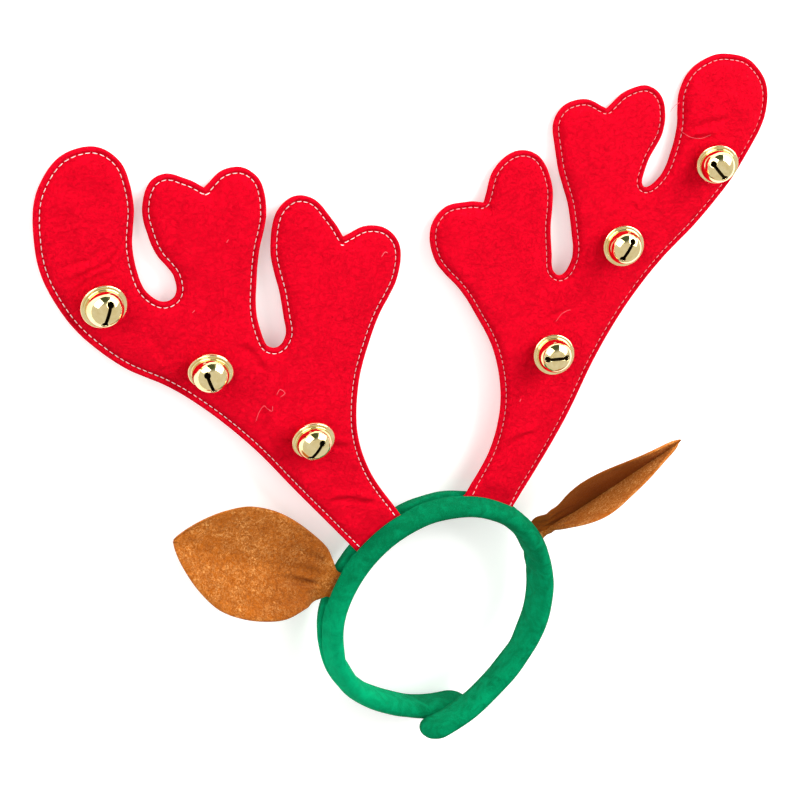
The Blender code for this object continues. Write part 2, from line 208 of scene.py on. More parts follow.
class Finish:
    """A procedural material under construction."""

    def __init__(self, name: str) -> None:
        """Start a material with one shader and object coordinates in millimetres."""
        self.material = bpy.data.materials.new(name)
        self.material.use_nodes = True
        self.nodes = self.material.node_tree.nodes
        self.links = self.material.node_tree.links
        self.shader = self.nodes["Principled BSDF"]
        coordinates = self.nodes.new("ShaderNodeTexCoord")
        scale = self.add("ShaderNodeVectorMath", operation="SCALE")
        self.links.new(coordinates.outputs["Object"], scale.inputs[0])
        scale.inputs["Scale"].default_value = 1.0 / MM
        self.place = scale.outputs["Vector"]

    def add(self, kind: str, **settings: object) -> Node:
        """Add a node and set its properties."""
        node = self.nodes.new(kind)
        for key, value in settings.items():
            setattr(node, key, value)
        return node

    def noise(
        self, length: float, detail: float = 3.0, rough: float = 0.55, warp: float = 0.0
    ) -> NodeSocket:
        """Add noise.

        Args:
            length: The size of its blotches, in millimetres.
            detail: How many finer layers it has.
            rough: How strong the finer layers are.
            warp: How far the pattern is pulled about.

        Returns:
            The noise's value socket.
        """
        node = self.add("ShaderNodeTexNoise")
        self.links.new(self.place, node.inputs["Vector"])
        node.inputs["Scale"].default_value = 1.0 / length
        node.inputs["Detail"].default_value = detail
        node.inputs["Roughness"].default_value = rough
        node.inputs["Distortion"].default_value = warp
        return node.outputs["Fac"]

    def flecks(self, length: float) -> NodeSocket:
        """Add a pattern of cells of a size in millimetres, each with its own value."""
        node = self.add("ShaderNodeTexVoronoi")
        self.links.new(self.place, node.inputs["Vector"])
        node.inputs["Scale"].default_value = 1.0 / length
        return node.outputs["Color"]

    def spread(
        self, value: NodeSocket, low: float, high: float, bottom: float = 0.0, top: float = 1.0
    ) -> NodeSocket:
        """Map low to high onto bottom to top, held at both ends."""
        node = self.add("ShaderNodeMapRange")
        self.links.new(value, node.inputs["Value"])
        for key, number in (("From Min", low), ("From Max", high), ("To Min", bottom), ("To Max", top)):
            node.inputs[key].default_value = number
        return node.outputs["Result"]

    def math(self, operation: str, a: NodeSocket, b: NodeSocket | float) -> NodeSocket:
        """Combine two values."""
        node = self.add("ShaderNodeMath", operation=operation)
        self.links.new(a, node.inputs[0])
        if isinstance(b, (int, float)):
            node.inputs[1].default_value = b
        else:
            self.links.new(b, node.inputs[1])
        return node.outputs["Value"]

    def blend(self, share: NodeSocket, a: object, b: object) -> NodeSocket:
        """Mix two colours, each a socket or a tuple, by a share."""
        node = self.add("ShaderNodeMix", data_type="RGBA")
        self.links.new(share, node.inputs["Factor"])
        for key, colour in ((6, a), (7, b)):
            if isinstance(colour, tuple):
                node.inputs[key].default_value = (*colour, 1.0)
            else:
                self.links.new(colour, node.inputs[key])
        return node.outputs[2]

    def attribute(self, name: str) -> NodeSocket:
        """Read a value that the mesh carries."""
        node = self.add("ShaderNodeAttribute", attribute_name=name)
        return node.outputs["Fac"]

    def relief(self, *layers: tuple[NodeSocket, float]) -> None:
        """Chain height layers, each with its depth in millimetres, into the shader's normal."""
        normal = None
        for height, depth in layers:
            node = self.add("ShaderNodeBump")
            node.inputs["Strength"].default_value = 1.0
            node.inputs["Distance"].default_value = depth * MM
            self.links.new(height, node.inputs["Height"])
            if normal is not None:
                self.links.new(normal, node.inputs["Normal"])
            normal = node.outputs["Normal"]
        self.links.new(normal, self.shader.inputs["Normal"])

    def colour(self, socket: NodeSocket) -> None:
        """Give the shader its colour."""
        self.links.new(socket, self.shader.inputs["Base Color"])

    def set(self, **sockets: object) -> None:
        """Set the shader's own sockets, named with underscores for spaces."""
        for key, value in sockets.items():
            self.shader.inputs[key.replace("_", " ")].default_value = value


@dataclass(frozen=True)
class FeltFinish:
    """Pressed red felt: matted fibres, faint mottling and paler lint on top."""

    base: Triple = (0.97, 0.0008, 0.0200)
    deep: Triple = (0.72, 0.0003, 0.0130)
    lint: Triple = (0.93, 0.03, 0.055)

    def make(self) -> Material:
        """Build the material."""
        felt = Finish("red_felt_fibres")
        cloud = felt.spread(felt.noise(11.0, 3.0, 0.55, 0.5), 0.3, 0.7, 0.35, 1.0)
        mottle = felt.spread(felt.noise(2.6, 4.0, 0.62, 0.9), 0.33, 0.66)
        matted = felt.noise(0.8, 5.0, 0.7, 2.4)
        strands = felt.spread(felt.noise(0.55, 4.0, 0.72, 3.5), 0.57, 0.74, 0.0, 0.8)
        clean = felt.math("MULTIPLY", cloud, felt.spread(mottle, 0.0, 1.0, 0.45, 1.0))
        ground = felt.blend(clean, self.deep, self.base)
        felt.colour(felt.blend(strands, ground, self.lint))
        felt.relief((mottle, 0.8), (matted, 0.8))
        felt.set(Roughness=1.0, Specular_IOR_Level=0.03)
        felt.set(Sheen_Weight=0.04, Sheen_Roughness=0.5, Sheen_Tint=(1.0, 0.05, 0.1, 1.0))
        return felt.material


@dataclass(frozen=True)
class PlushFinish:
    """Short green plush: a dense pile, painted lighter and darker by the painted light and shade that the
    band carries.
    """

    base: Triple = (0.0005, 0.37, 0.150)
    deep: Triple = (0.0002, 0.145, 0.052)
    tips: Triple = (0.003, 0.42, 0.19)

    def make(self) -> Material:
        """Build the material."""
        plush = Finish("green_plush_pile")
        lightness = plush.spread(plush.noise(7.0, 3.0, 0.55, 1.2), 0.33, 0.66, -0.22, 0.22)
        # A random tone plus the band's painted light and shade, which blends the deep green into the base
        # green.
        painted_light = plush.math("ADD", lightness, plush.attribute("painted_light"))
        pile = plush.noise(0.6, 4.0, 0.7, 1.0)
        tufts = plush.spread(plush.noise(1.3, 3.0, 0.6, 1.5), 0.35, 0.7)
        ground = plush.blend(plush.spread(painted_light, 0.0, 1.0), self.deep, self.base)
        speckle = plush.spread(pile, 0.52, 0.8, 0.0, 0.5)
        plush.colour(plush.blend(speckle, ground, self.tips))
        plush.relief((tufts, 0.3), (pile, 0.4))
        plush.set(Roughness=1.0, Specular_IOR_Level=0.03)
        plush.set(Sheen_Weight=0.06, Sheen_Roughness=0.4, Sheen_Tint=(0.02, 1.0, 0.5, 1.0))
        return plush.material


@dataclass(frozen=True)
class EarFinish:
    """Brown velour with gold glitter flecks, painted lighter, darker and more glinting by painted light and
    shade from a mesh attribute.
    """

    base: Triple = (0.43, 0.108, 0.0050)
    deep: Triple = (0.20, 0.046, 0.0030)
    glint: Triple = (0.93, 0.50, 0.16)

    def make(self) -> Material:
        """Build the material."""
        ear = Finish("brown_glitter_plush")
        painted_light = ear.attribute("painted_light")
        cloud = ear.spread(ear.noise(9.0, 3.0, 0.6, 0.8), 0.38, 0.66)
        streak = ear.spread(ear.noise(2.2, 4.0, 0.65, 1.4), 0.34, 0.66)
        grain = ear.noise(1.0, 4.0, 0.72, 1.6)
        fleck = ear.spread(ear.flecks(0.8), 0.62, 0.9)
        patch = ear.math("MULTIPLY", cloud, ear.spread(streak, 0.2, 1.0, 0.25, 1.0))
        glow = ear.math("MAXIMUM", ear.math("MULTIPLY", fleck, 0.8), ear.spread(grain, 0.49, 0.63))
        worn = ear.math("MULTIPLY", streak, ear.spread(grain, 0.3, 0.6, 0.35, 1.0))
        # Where the painted light runs above 0.8 the ground is painted lighter.
        ground = ear.blend(ear.math("ADD", worn, ear.spread(painted_light, 0.8, 1.4, 0.0, 0.7)), self.deep, self.base)
        glitter = ear.math("MULTIPLY", glow, ear.spread(patch, 0.0, 1.0, 0.14, 0.85))
        # The glitter flecks are painted pale gold: partly their own colour, partly painted glints, scaled by
        # the painted light.
        lit = ear.blend(ear.math("MULTIPLY", glitter, painted_light), ground, self.glint)
        # Where the painted light is low the ear is painted towards the deep brown, as painted shade.
        ear.colour(ear.blend(ear.spread(painted_light, 0.0, 1.0, 0.7, 0.0), lit, self.deep))
        rough = ear.spread(glitter, 0.0, 1.0, 0.9, 0.45)
        ear.links.new(rough, ear.shader.inputs["Roughness"])
        ear.relief((streak, 0.25), (grain, 0.35))
        ear.set(Sheen_Weight=0.04, Sheen_Roughness=0.45, Sheen_Tint=(1.0, 0.6, 0.3, 1.0))
        ear.set(Specular_IOR_Level=0.1)
        return ear.material


@dataclass(frozen=True)
class BrassFinish:
    """Polished brass with a trace of handling."""

    name: str = "polished_brass"
    bright: Triple = (0.94, 0.80, 0.44)
    warm: Triple = (0.87, 0.69, 0.32)
    roughness: float = 0.05

    def make(self) -> Material:
        """Build the material."""
        brass = Finish(self.name)
        smudge = brass.spread(brass.noise(4.0, 3.0, 0.5, 0.5), 0.35, 0.7)
        brass.colour(brass.blend(smudge, self.bright, self.warm))
        rough = brass.spread(smudge, 0.0, 1.0, self.roughness, self.roughness + 0.06)
        brass.links.new(rough, brass.shader.inputs["Roughness"])
        brass.relief((brass.noise(2.5, 2.0), 0.02), (brass.noise(0.4, 2.0), 0.002))
        brass.set(Metallic=1.0)
        return brass.material


@dataclass(frozen=True)
class ThreadFinish:
    """Twisted white sewing thread."""

    name: str = "white_thread"
    colour: Triple = (1.0, 0.94, 0.93)

    def make(self) -> Material:
        """Build the material."""
        thread = Finish(self.name)
        twist = thread.noise(0.35, 2.0)
        shade = tuple(0.78 * c for c in self.colour)
        thread.colour(thread.blend(thread.spread(twist, 0.35, 0.65), shade, self.colour))
        thread.relief((twist, 0.05))
        thread.set(Roughness=0.7, Sheen_Weight=0.1, Specular_IOR_Level=0.3)
        return thread.material


@dataclass(frozen=True)
class FloorFinish:
    """The plain pale floor."""

    colour: Triple = (0.97, 0.97, 0.97)

    def make(self) -> Material:
        """Build the material."""
        floor = Finish("pale_floor")
        floor.colour(floor.blend(floor.noise(60.0, 2.0), self.colour, tuple(0.99 * c for c in self.colour)))
        floor.set(Roughness=0.8, Specular_IOR_Level=0.1)
        floor.set(Emission_Color=(1.0, 1.0, 1.0, 1.0), Emission_Strength=0.22)
        return floor.material


# Meshes


def solid(name: str, points: Array, faces: Faces, lay: Matrix, finish: Material) -> Object:
    """Make an object of points in band millimetres, laid where the model lies.

    Args:
        name: The piece's name.
        points: Its points, one row each.
        faces: Its faces, as indices into the points.
        lay: The matrix from the band's frame to the model.
        finish: Its material.

    Returns:
        The new object, at the origin with its place in its mesh.
    """
    mesh = bpy.data.meshes.new(name)
    laid = points @ np.array(lay.to_3x3()).T + np.array(lay.translation)
    mesh.from_pydata(laid.tolist(), [], faces)
    mesh.materials.append(finish)
    mesh.shade_smooth()
    item = bpy.data.objects.new(name, mesh)
    bpy.context.scene.collection.objects.link(item)
    return item


def settle_piece(item: Object, slot: Slot, *nodes: str) -> None:
    """Make a piece ride and report it; it stands for the named nodes."""
    if nodes:
        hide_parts(*nodes)
    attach(item, BODY)
    item.data.calc_loop_triangles()
    LOG.info("%s: %d triangles", item.name, len(item.data.loop_triangles))


def ring_faces(rings: int, count: int, closed: bool = True) -> Faces:
    """Faces between rings of points that follow each other in one list.

    Args:
        rings: How many rings there are.
        count: How many points each has.
        closed: Whether each ring joins its own start.

    Returns:
        The four-sided faces.
    """
    faces = []
    for r in range(rings - 1):
        for i in range(count if closed else count - 1):
            j = (i + 1) % count
            faces.append((r * count + i, r * count + j, (r + 1) * count + j, (r + 1) * count + i))
    return faces


class Outline:
    """A closed outline in the plane, with real corners and smooth stretches between them."""

    def __init__(self, corners: Array, step: float, sharp_deg: float) -> None:
        """Smooth a coarse outline.

        Args:
            corners: The coarse outline's points in order.
            step: The spacing of the smooth outline's points.
            sharp_deg: The turn from which a point stays a corner.
        """
        area = np.sum(corners[:, 0] * np.roll(corners[:, 1], -1) - corners[:, 1] * np.roll(corners[:, 0], -1))
        coarse = corners if area > 0 else corners[::-1]
        before, after = np.roll(coarse, 1, 0), np.roll(coarse, -1, 0)
        turn = self.turning(before, coarse, after)
        sharp = np.abs(turn) > math.radians(sharp_deg)
        points, is_sharp = [], []
        for i in range(len(coarse)):
            p1, p2 = coarse[i], coarse[(i + 1) % len(coarse)]
            p0 = p1 - (p2 - p1) if sharp[i] else coarse[i - 1]
            p3 = p2 + (p2 - p1) if sharp[(i + 1) % len(coarse)] else coarse[(i + 2) % len(coarse)]
            count = max(1, round(np.linalg.norm(p2 - p1) / step))
            for k in range(count):
                points.append(self.between(p0, p1, p2, p3, k / count))
                is_sharp.append(bool(sharp[i]) and k == 0)
        self.points = np.array(points)
        self.sharp = np.array(is_sharp)
        ahead, behind = np.roll(self.points, -1, 0), np.roll(self.points, 1, 0)
        along = ahead - behind
        along /= np.linalg.norm(along, axis=1)[:, None]
        self.inward = np.stack((-along[:, 1], along[:, 0]), axis=1)
        bend = np.abs(self.turning(behind, self.points, ahead))
        self.mitre = np.where(self.sharp, 1.0 / np.maximum(np.cos(bend / 2), 0.4), 1.0)

    @staticmethod
    def turning(before: Array, here: Array, after: Array) -> Array:
        """The signed turn at each point, in radians."""
        a, b = here - before, after - here
        return np.arctan2(a[:, 0] * b[:, 1] - a[:, 1] * b[:, 0], (a * b).sum(1))

    @staticmethod
    def between(p0: Array, p1: Array, p2: Array, p3: Array, t: float) -> Array:
        """A point between two others on a smooth curve that starts with chords of unlike lengths.

        Args:
            p0: The point before.
            p1: The start.
            p2: The end.
            p3: The point after.
            t: The share of the way from p1 to p2.

        Returns:
            The point.
        """
        spans = [max(np.linalg.norm(b - a) ** 0.5, 1e-6) for a, b in ((p0, p1), (p1, p2), (p2, p3))]
        m1 = spans[1] * ((p1 - p0) / spans[0] - (p2 - p0) / (spans[0] + spans[1]) + (p2 - p1) / spans[1])
        m2 = spans[1] * ((p2 - p1) / spans[1] - (p3 - p1) / (spans[1] + spans[2]) + (p3 - p2) / spans[2])
        h = (1 + 2 * t) * (1 - t) ** 2
        return h * p1 + t * (1 - t) ** 2 * m1 + (1 - h) * p2 - t * t * (1 - t) * m2

    def inset(self, distance: float) -> Array:
        """The outline moved inwards, with its corners kept sharp."""
        return self.points + self.inward * (distance * self.mitre)[:, None]

    def distances(self, points: Array, counted: Array) -> Array:
        """How far each point is from the counted stretches of the outline.

        Args:
            points: The points to measure from.
            counted: A flag for each point of the outline.

        Returns:
            The distance of each point.
        """
        tree = KDTree(int(counted.sum()))
        for i, (x, y) in enumerate(self.points[counted]):
            tree.insert((x, y, 0.0), i)
        tree.balance()
        return np.array([tree.find((x, y, 0.0))[2] for x, y in points])

    def holds(self, points: Array) -> Array:
        """Whether each point lies inside the outline."""
        inside = np.zeros(len(points), bool)
        x, y = points[:, 0], points[:, 1]
        for a, b in zip(self.points, np.roll(self.points, -1, 0)):
            crosses = (a[1] > y) != (b[1] > y)
            if crosses.any():
                inside ^= crosses & (x < (b[0] - a[0]) * (y - a[1]) / (b[1] - a[1] + 1e-12) + a[0])
        return inside


def triangulate(points: Array, loops: list[Array], inside: Callable[[Array], Array]) -> Faces:
    """Triangulate a plane region.

    Args:
        points: All its points, counterclockwise loops among them.
        loops: The closed loops of points that bound it, as indices.
        inside: Says of each middle whether a triangle there belongs.

    Returns:
        The triangles, as indices into the points.
    """
    edges = [(int(i), int(j)) for loop in loops for i, j in zip(loop, np.roll(loop, -1))]
    made = delaunay_2d_cdt([Vector(p) for p in points.tolist()], edges, [], 0, 1e-6, True)
    first = {new: sources[0] for new, sources in enumerate(made[3]) if sources}
    triangles = np.array([[first[i] for i in face] for face in made[2] if all(i in first for i in face)])
    keep = inside(points[triangles].mean(axis=1))
    return [tuple(int(i) for i in t) for t in triangles[keep]]


# The stitching


@dataclass(frozen=True)
class Stitching:
    """A row of machine stitches along a path.

    Args:
        pitch: From one stitch to the next, in millimetres.
        length: The thread that shows of each.
        radius: The thread's radius.
        bow: How far the middle of a stitch stands over its ends.
        unevenness_deg: How far stitches turn off the line.
        seed: What the unevenness starts from.
    """

    pitch: float = 3.15
    length: float = 2.1
    radius: float = 0.2
    bow: float = 0.55
    unevenness_deg: float = 4.0
    seed: int = 4

    def tree(self, thread: Material) -> NodeTree:
        """Build the node tree that sets a stitch on each step of a path.

        Args:
            thread: The thread's material.

        Returns:
            The tree, with its sizes as named inputs in metres.
        """
        tree = bpy.data.node_groups.new("machine_stitching", "GeometryNodeTree")
        sizes = ("Stitch Pitch", "Stitch Length", "Thread Radius", "Stitch Bow", "Unevenness")
        for name, kind in (("Path", "Geometry"), *((size, "Float") for size in sizes), ("Seed", "Int")):
            tree.interface.new_socket(name, in_out="INPUT", socket_type="NodeSocket" + kind)
        tree.interface.new_socket("Stitches", in_out="OUTPUT", socket_type="NodeSocketGeometry")
        kinds = {
            "given": "NodeGroupInput",
            "path": "GeometryNodeMeshToCurve",
            "steps": "GeometryNodeResampleCurve",
            "half": "ShaderNodeMath",
            "back": "ShaderNodeMath",
            "start": "ShaderNodeCombineXYZ",
            "middle": "ShaderNodeCombineXYZ",
            "end": "ShaderNodeCombineXYZ",
            "strand": "GeometryNodeCurveQuadraticBezier",
            "ring": "GeometryNodeCurvePrimitiveCircle",
            "tube": "GeometryNodeCurveToMesh",
            "tangent": "GeometryNodeInputTangent",
            "aim": "FunctionNodeAlignRotationToVector",
            "rows": "GeometryNodeInstanceOnPoints",
            "chance": "FunctionNodeRandomValue",
            "swing": "ShaderNodeMath",
            "turn": "ShaderNodeCombineXYZ",
            "uneven": "GeometryNodeRotateInstances",
            "real": "GeometryNodeRealizeInstances",
            "smooth": "GeometryNodeSetShadeSmooth",
            "finish": "GeometryNodeSetMaterial",
            "made": "NodeGroupOutput",
        }
        nodes = {name: tree.nodes.new(kind) for name, kind in kinds.items()}
        nodes["steps"].mode = "LENGTH"
        nodes["aim"].axis, nodes["aim"].pivot_axis = "X", "Z"
        nodes["chance"].data_type = "FLOAT"
        for name in ("half", "back", "swing"):
            nodes[name].operation = "MULTIPLY"
        values = (
            ("half", 1, 0.5),
            ("back", 1, -1.0),
            ("strand", "Resolution", 6),
            ("ring", "Resolution", 6),
            ("tube", "Fill Caps", True),
            ("chance", 2, -1.0),
            ("chance", 3, 1.0),
            ("finish", "Material", thread),
        )
        for name, socket, value in values:
            nodes[name].inputs[socket].default_value = value
        links = (
            ("given", "Path", "path", "Mesh"),
            ("path", "Curve", "steps", "Curve"),
            ("given", "Stitch Pitch", "steps", "Length"),
            ("given", "Stitch Length", "half", 0),
            ("half", 0, "back", 0),
            ("back", 0, "start", "X"),
            ("given", "Stitch Bow", "middle", "Z"),
            ("half", 0, "end", "X"),
            ("start", 0, "strand", "Start"),
            ("middle", 0, "strand", "Middle"),
            ("end", 0, "strand", "End"),
            ("given", "Thread Radius", "ring", "Radius"),
            ("strand", "Curve", "tube", "Curve"),
            ("ring", "Curve", "tube", "Profile Curve"),
            ("tangent", "Tangent", "aim", "Vector"),
            ("steps", "Curve", "rows", "Points"),
            ("tube", "Mesh", "rows", "Instance"),
            ("aim", "Rotation", "rows", "Rotation"),
            ("given", "Seed", "chance", "Seed"),
            ("chance", 1, "swing", 0),
            ("given", "Unevenness", "swing", 1),
            ("swing", 0, "turn", "Z"),
            ("rows", "Instances", "uneven", "Instances"),
            ("turn", 0, "uneven", "Rotation"),
            ("uneven", "Instances", "real", "Geometry"),
            ("real", "Geometry", "smooth", "Geometry"),
            ("smooth", "Geometry", "finish", "Geometry"),
            ("finish", "Geometry", "made", "Stitches"),
        )
        for source, outlet, target, inlet in links:
            tree.links.new(nodes[source].outputs[outlet], nodes[target].inputs[inlet])
        return tree

    def sew(self, name: str, paths: list[Array], lay: Matrix, tree: NodeTree) -> Object:
        """Sew along paths and keep the stitches as one plain mesh.

        Args:
            name: The piece's name.
            paths: Open paths in band millimetres.
            lay: The matrix from the band's frame to the model.
            tree: The tree from tree().

        Returns:
            The stitches.
        """
        mesh = bpy.data.meshes.new(name + "_path")
        points = np.vstack(paths) @ np.array(lay.to_3x3()).T + np.array(lay.translation)
        edges, first = [], 0
        for path in paths:
            edges += [(first + i, first + i + 1) for i in range(len(path) - 1)]
            first += len(path)
        mesh.from_pydata(points.tolist(), edges, [])
        guide = bpy.data.objects.new(name + "_path", mesh)
        bpy.context.scene.collection.objects.link(guide)
        sizes = {
            "Stitch Pitch": self.pitch * MM,
            "Stitch Length": self.length * MM,
            "Thread Radius": self.radius * MM,
            "Stitch Bow": self.bow * MM,
            "Unevenness": math.radians(self.unevenness_deg),
            "Seed": self.seed,
        }
        return grown(guide, name, tree, sizes)


def grown(guide: Object, name: str, tree: NodeTree, sizes: dict[str, object]) -> Object:
    """Run a node tree on a guide object, keep the result as a plain mesh and remove the guide.

    Args:
        guide: The object that the tree reads.
        name: The new piece's name.
        tree: The tree to run.
        sizes: The value of each named input.

    Returns:
        The new piece.
    """
    growth = guide.modifiers.new("growth", "NODES")
    growth.node_group = tree
    for item in tree.interface.items_tree:
        if item.item_type == "SOCKET" and item.in_out == "INPUT" and item.name in sizes:
            growth[item.identifier] = sizes[item.name]
    bpy.context.view_layer.update()
    evaluated = guide.evaluated_get(bpy.context.evaluated_depsgraph_get())
    mesh = bpy.data.meshes.new_from_object(evaluated)
    mesh.name = name
    made = bpy.data.objects.new(name, mesh)
    bpy.context.scene.collection.objects.link(made)
    bpy.data.objects.remove(guide, do_unlink=True)
    return made


# The antlers


@dataclass(frozen=True)
class Crease:
    """A soft crease pressed into the felt, from one place to another in band millimetres."""

    start: tuple[float, float]
    end: tuple[float, float]
    depth: float
    width: float = 1.1

    def height(self, x: Array, y: Array) -> Array:
        """The crease's height at each point: a valley with a low ridge beside it."""
        a, b = np.array(self.start), np.array(self.end)
        along = b - a
        reach = np.linalg.norm(along)
        along = along / reach
        run = (x - a[0]) * along[0] + (y - a[1]) * along[1]
        bend = 0.06 * reach * np.sin(math.pi * np.clip(run / reach, 0, 1) * 1.7)
        off = (x - a[0]) * -along[1] + (y - a[1]) * along[0] - bend
        fade = ease(run, -2.0, 4.0) * (1 - ease(run, reach - 4.0, reach + 2.0))
        ridge = 0.9 * bump(off, 1.4 * self.width, 1.1 * self.width)
        return 2.2 * fade * self.depth * (ridge - bump(off, 0.0, 0.8 * self.width))


@dataclass
class FeltAntler:
    """One antler: two felt layers sewn together round their edge, a little padded.

    Args:
        node: The CAD node that it stands for.
        creases: The creases that show on its front.
        bells: Where its bells pull the felt in.
        seed: What its unevenness starts from.
        edge_half: Half the thickness of its cut edge.
        edge_round: How far that edge is rounded off, over edge_run.
        stitch_inset: How far inside the edge it is sewn.
        stitch_pull: How deep the sewing pulls a groove of groove_half.
        front_puff: How far the front swells inside the sewing, over puff_run.
        back_puff: The same for the back.
        flat_run: How far inside the sewing its unevenness reaches full height.
        bell_pull: How far a bell pulls the felt in, over bell_reach.
        node_face: The level above which the CAD node's points are its front's.
        root_radius: From the ring's centre to where the edge is no longer sewn.
        seam_radius: From there to where the felt leaves the band's seam.
        free_radius: From there to where it has its full form.
        rows: The insets of its rows of points along the edge.
    """

    node: str
    creases: tuple[Crease, ...]
    bells: tuple[tuple[float, float], ...]
    seed: int
    edge_half: float = 1.5
    edge_round: float = 0.75
    edge_run: float = 1.1
    groove_half: float = 0.75
    flat_run: float = 5.0
    stitch_inset: float = 2.6
    stitch_pull: float = 1.25
    front_puff: float = 1.6
    back_puff: float = 0.35
    puff_run: float = 2.4
    bell_pull: float = 1.1
    bell_reach: float = 8.5
    outline_step: float = 0.9
    grid_step: float = 1.0
    node_face: float = 1.5
    root_radius: float = 62.5
    seam_radius: float = 64.0
    free_radius: float = 74.0
    rows: tuple[float, ...] = (0.35, 0.8, 1.4, 2.0, 2.6, 3.2, 3.9, 4.8, 6.0)
    outline: Outline = field(init=False)
    sewn: Array = field(init=False)

    def read_outline(self, lay: Matrix) -> None:
        """Find the antler's outline on its CAD node.

        Args:
            lay: The matrix from the band's frame to the model.
        """
        back = lay.inverted()
        copy = bmesh.new()
        copy.from_mesh(bpy.data.objects[self.node].data)
        bmesh.ops.remove_doubles(copy, verts=copy.verts, dist=0.00001)
        level = {v: back @ v.co for v in copy.verts}
        beside: dict[bmesh.types.BMVert, list[bmesh.types.BMVert]] = {v: [] for v in copy.verts}
        for edge in copy.edges:
            a, b = edge.verts
            flat = [all(level[v].z > self.node_face for v in face.verts) for face in edge.link_faces]
            if level[a].z > self.node_face and level[b].z > self.node_face and not all(flat):
                beside[a].append(b)
                beside[b].append(a)
        start = next(v for v in copy.verts if len(beside[v]) == 2)
        walk, before, here = [start], None, start
        while True:
            ahead = next(v for v in beside[here] if v is not before)
            if ahead is start:
                break
            walk.append(ahead)
            before, here = here, ahead
        rim = np.array([level[v][:2] for v in walk])
        copy.free()
        self.outline = Outline(rim, self.outline_step, 42.0)
        self.sewn = np.linalg.norm(self.outline.points, axis=1) > self.root_radius

    def sheet(self) -> tuple[Array, Faces, Array]:
        """Lay out the felt in the plane.

        Returns:
            The points with the rim first, the triangles, and each point's distance to the edge.
        """
        outline = self.outline
        gathered = [outline.points]
        for row in self.rows:
            points = outline.inset(row)[self.sewn]
            clear = outline.distances(points, self.sewn) > row - 0.06
            gathered.append(points[clear & outline.holds(points)])
        low, high = outline.points.min(0), outline.points.max(0)
        xs = np.arange(low[0], high[0], self.grid_step)
        ys = np.arange(low[1], high[1], self.grid_step * TRIANGLE_ROW)
        shifts = (0, self.grid_step / 2)
        grid = np.array([(x + shifts[k % 2], y) for k, y in enumerate(ys) for x in xs])
        grid = grid[outline.holds(grid)]
        rim_gap = outline.distances(grid, np.ones(len(outline.points), bool))
        edge_gap = outline.distances(grid, self.sewn)
        gathered.append(grid[(edge_gap > self.rows[-1] + 0.6) & (rim_gap > 0.7)])
        points = np.vstack(gathered)
        triangles = triangulate(points, [np.arange(len(outline.points))], outline.holds)
        return points, triangles, outline.distances(points, self.sewn)

    def height(self, points: Array, gap: Array, face: Face) -> Array:
        """How far one face stands off the ring's plane.

        Args:
            points: Points of the sheet.
            gap: Their distance to the sewn edge.
            face: The face.

        Returns:
            The height of each point, in millimetres.
        """
        x, y = points[:, 0], points[:, 1]
        free = ease(np.hypot(x, y), self.seam_radius, self.free_radius)
        edge = self.edge_half - self.edge_round * (1 - np.clip(gap / self.edge_run, 0, 1)) ** 2
        pull = self.stitch_pull * bump(gap, self.stitch_inset, self.groove_half)
        puff = self.front_puff if face is Face.FRONT else self.back_puff
        inner = puff * (1 - np.exp(-np.maximum(gap - self.stitch_inset - 0.2, 0) / self.puff_run))
        total = edge + (inner - pull) * free
        inside = ease(gap, self.stitch_inset, self.stitch_inset + self.flat_run) * free
        total += inside * Ripples(0.16, 17.0, self.seed + face.value).at(x, y)
        if face is Face.FRONT:
            total += inside * sum(crease.height(x, y) for crease in self.creases)
            for bx, by in self.bells:
                total -= inside * self.bell_pull * bump(np.hypot(x - bx, y - by), 0.0, self.bell_reach)
        return total * face.value

    def lift(self, points: Array) -> Array:
        """The antler's own slow wave, the same for both faces."""
        free = ease(np.hypot(points[:, 0], points[:, 1]), self.seam_radius, 150.0)
        return free * Ripples(0.5, 70.0, self.seed + 10, 5).at(points[:, 0], points[:, 1])

    def build(self, lay: Matrix, felt: Material) -> Object:
        """Build the padded felt.

        Args:
            lay: The matrix from the band's frame to the model.
            felt: The felt's material.

        Returns:
            The antler, with its two faces and its cut edge.
        """
        self.read_outline(lay)
        points, triangles, gap = self.sheet()
        count, rim = len(points), len(self.outline.points)
        lift = self.lift(points)
        front = np.c_[points, self.height(points, gap, Face.FRONT) + lift]
        back = np.c_[points, self.height(points, gap, Face.BACK) + lift]
        stack = [front, back]
        between = ((0.3, -0.02), (0.1, 0.25), (-0.1, 0.25), (-0.3, -0.02))
        for level, inset in between:
            stack.append(np.c_[self.outline.inset(inset), np.full(rim, level) + lift[:rim]])
        faces = [tuple(t) for t in triangles]
        faces += [(a + count, c + count, b + count) for a, b, c in triangles]
        starts = [0] + [2 * count + rim * k for k in range(len(between))] + [count]
        for upper, lower in zip(starts, starts[1:]):
            for i in range(rim):
                j = (i + 1) % rim
                faces.append((upper + i, lower + i, lower + j, upper + j))
        return solid(self.node + "_felt", np.vstack(stack), faces, lay, felt)

    def stitch_paths(self) -> list[Array]:
        """The paths that the sewing follows on both faces, clear of the band."""
        line = self.outline.inset(self.stitch_inset)
        radius = np.linalg.norm(line, axis=1)
        start = int(np.argmin(radius))
        order = np.roll(np.arange(len(line)), -start)
        line = line[order]
        gap = self.outline.distances(line, self.sewn)
        keep = (np.linalg.norm(line, axis=1) > self.seam_radius + 0.6) & (gap > self.stitch_inset - 0.25)
        line, gap = line[keep], gap[keep]
        lift = self.lift(line)
        paths = []
        for face in Face:
            level = self.height(line, gap, face) + lift - 0.05 * face.value
            paths.append(np.c_[line, level])
        return paths


# The bells


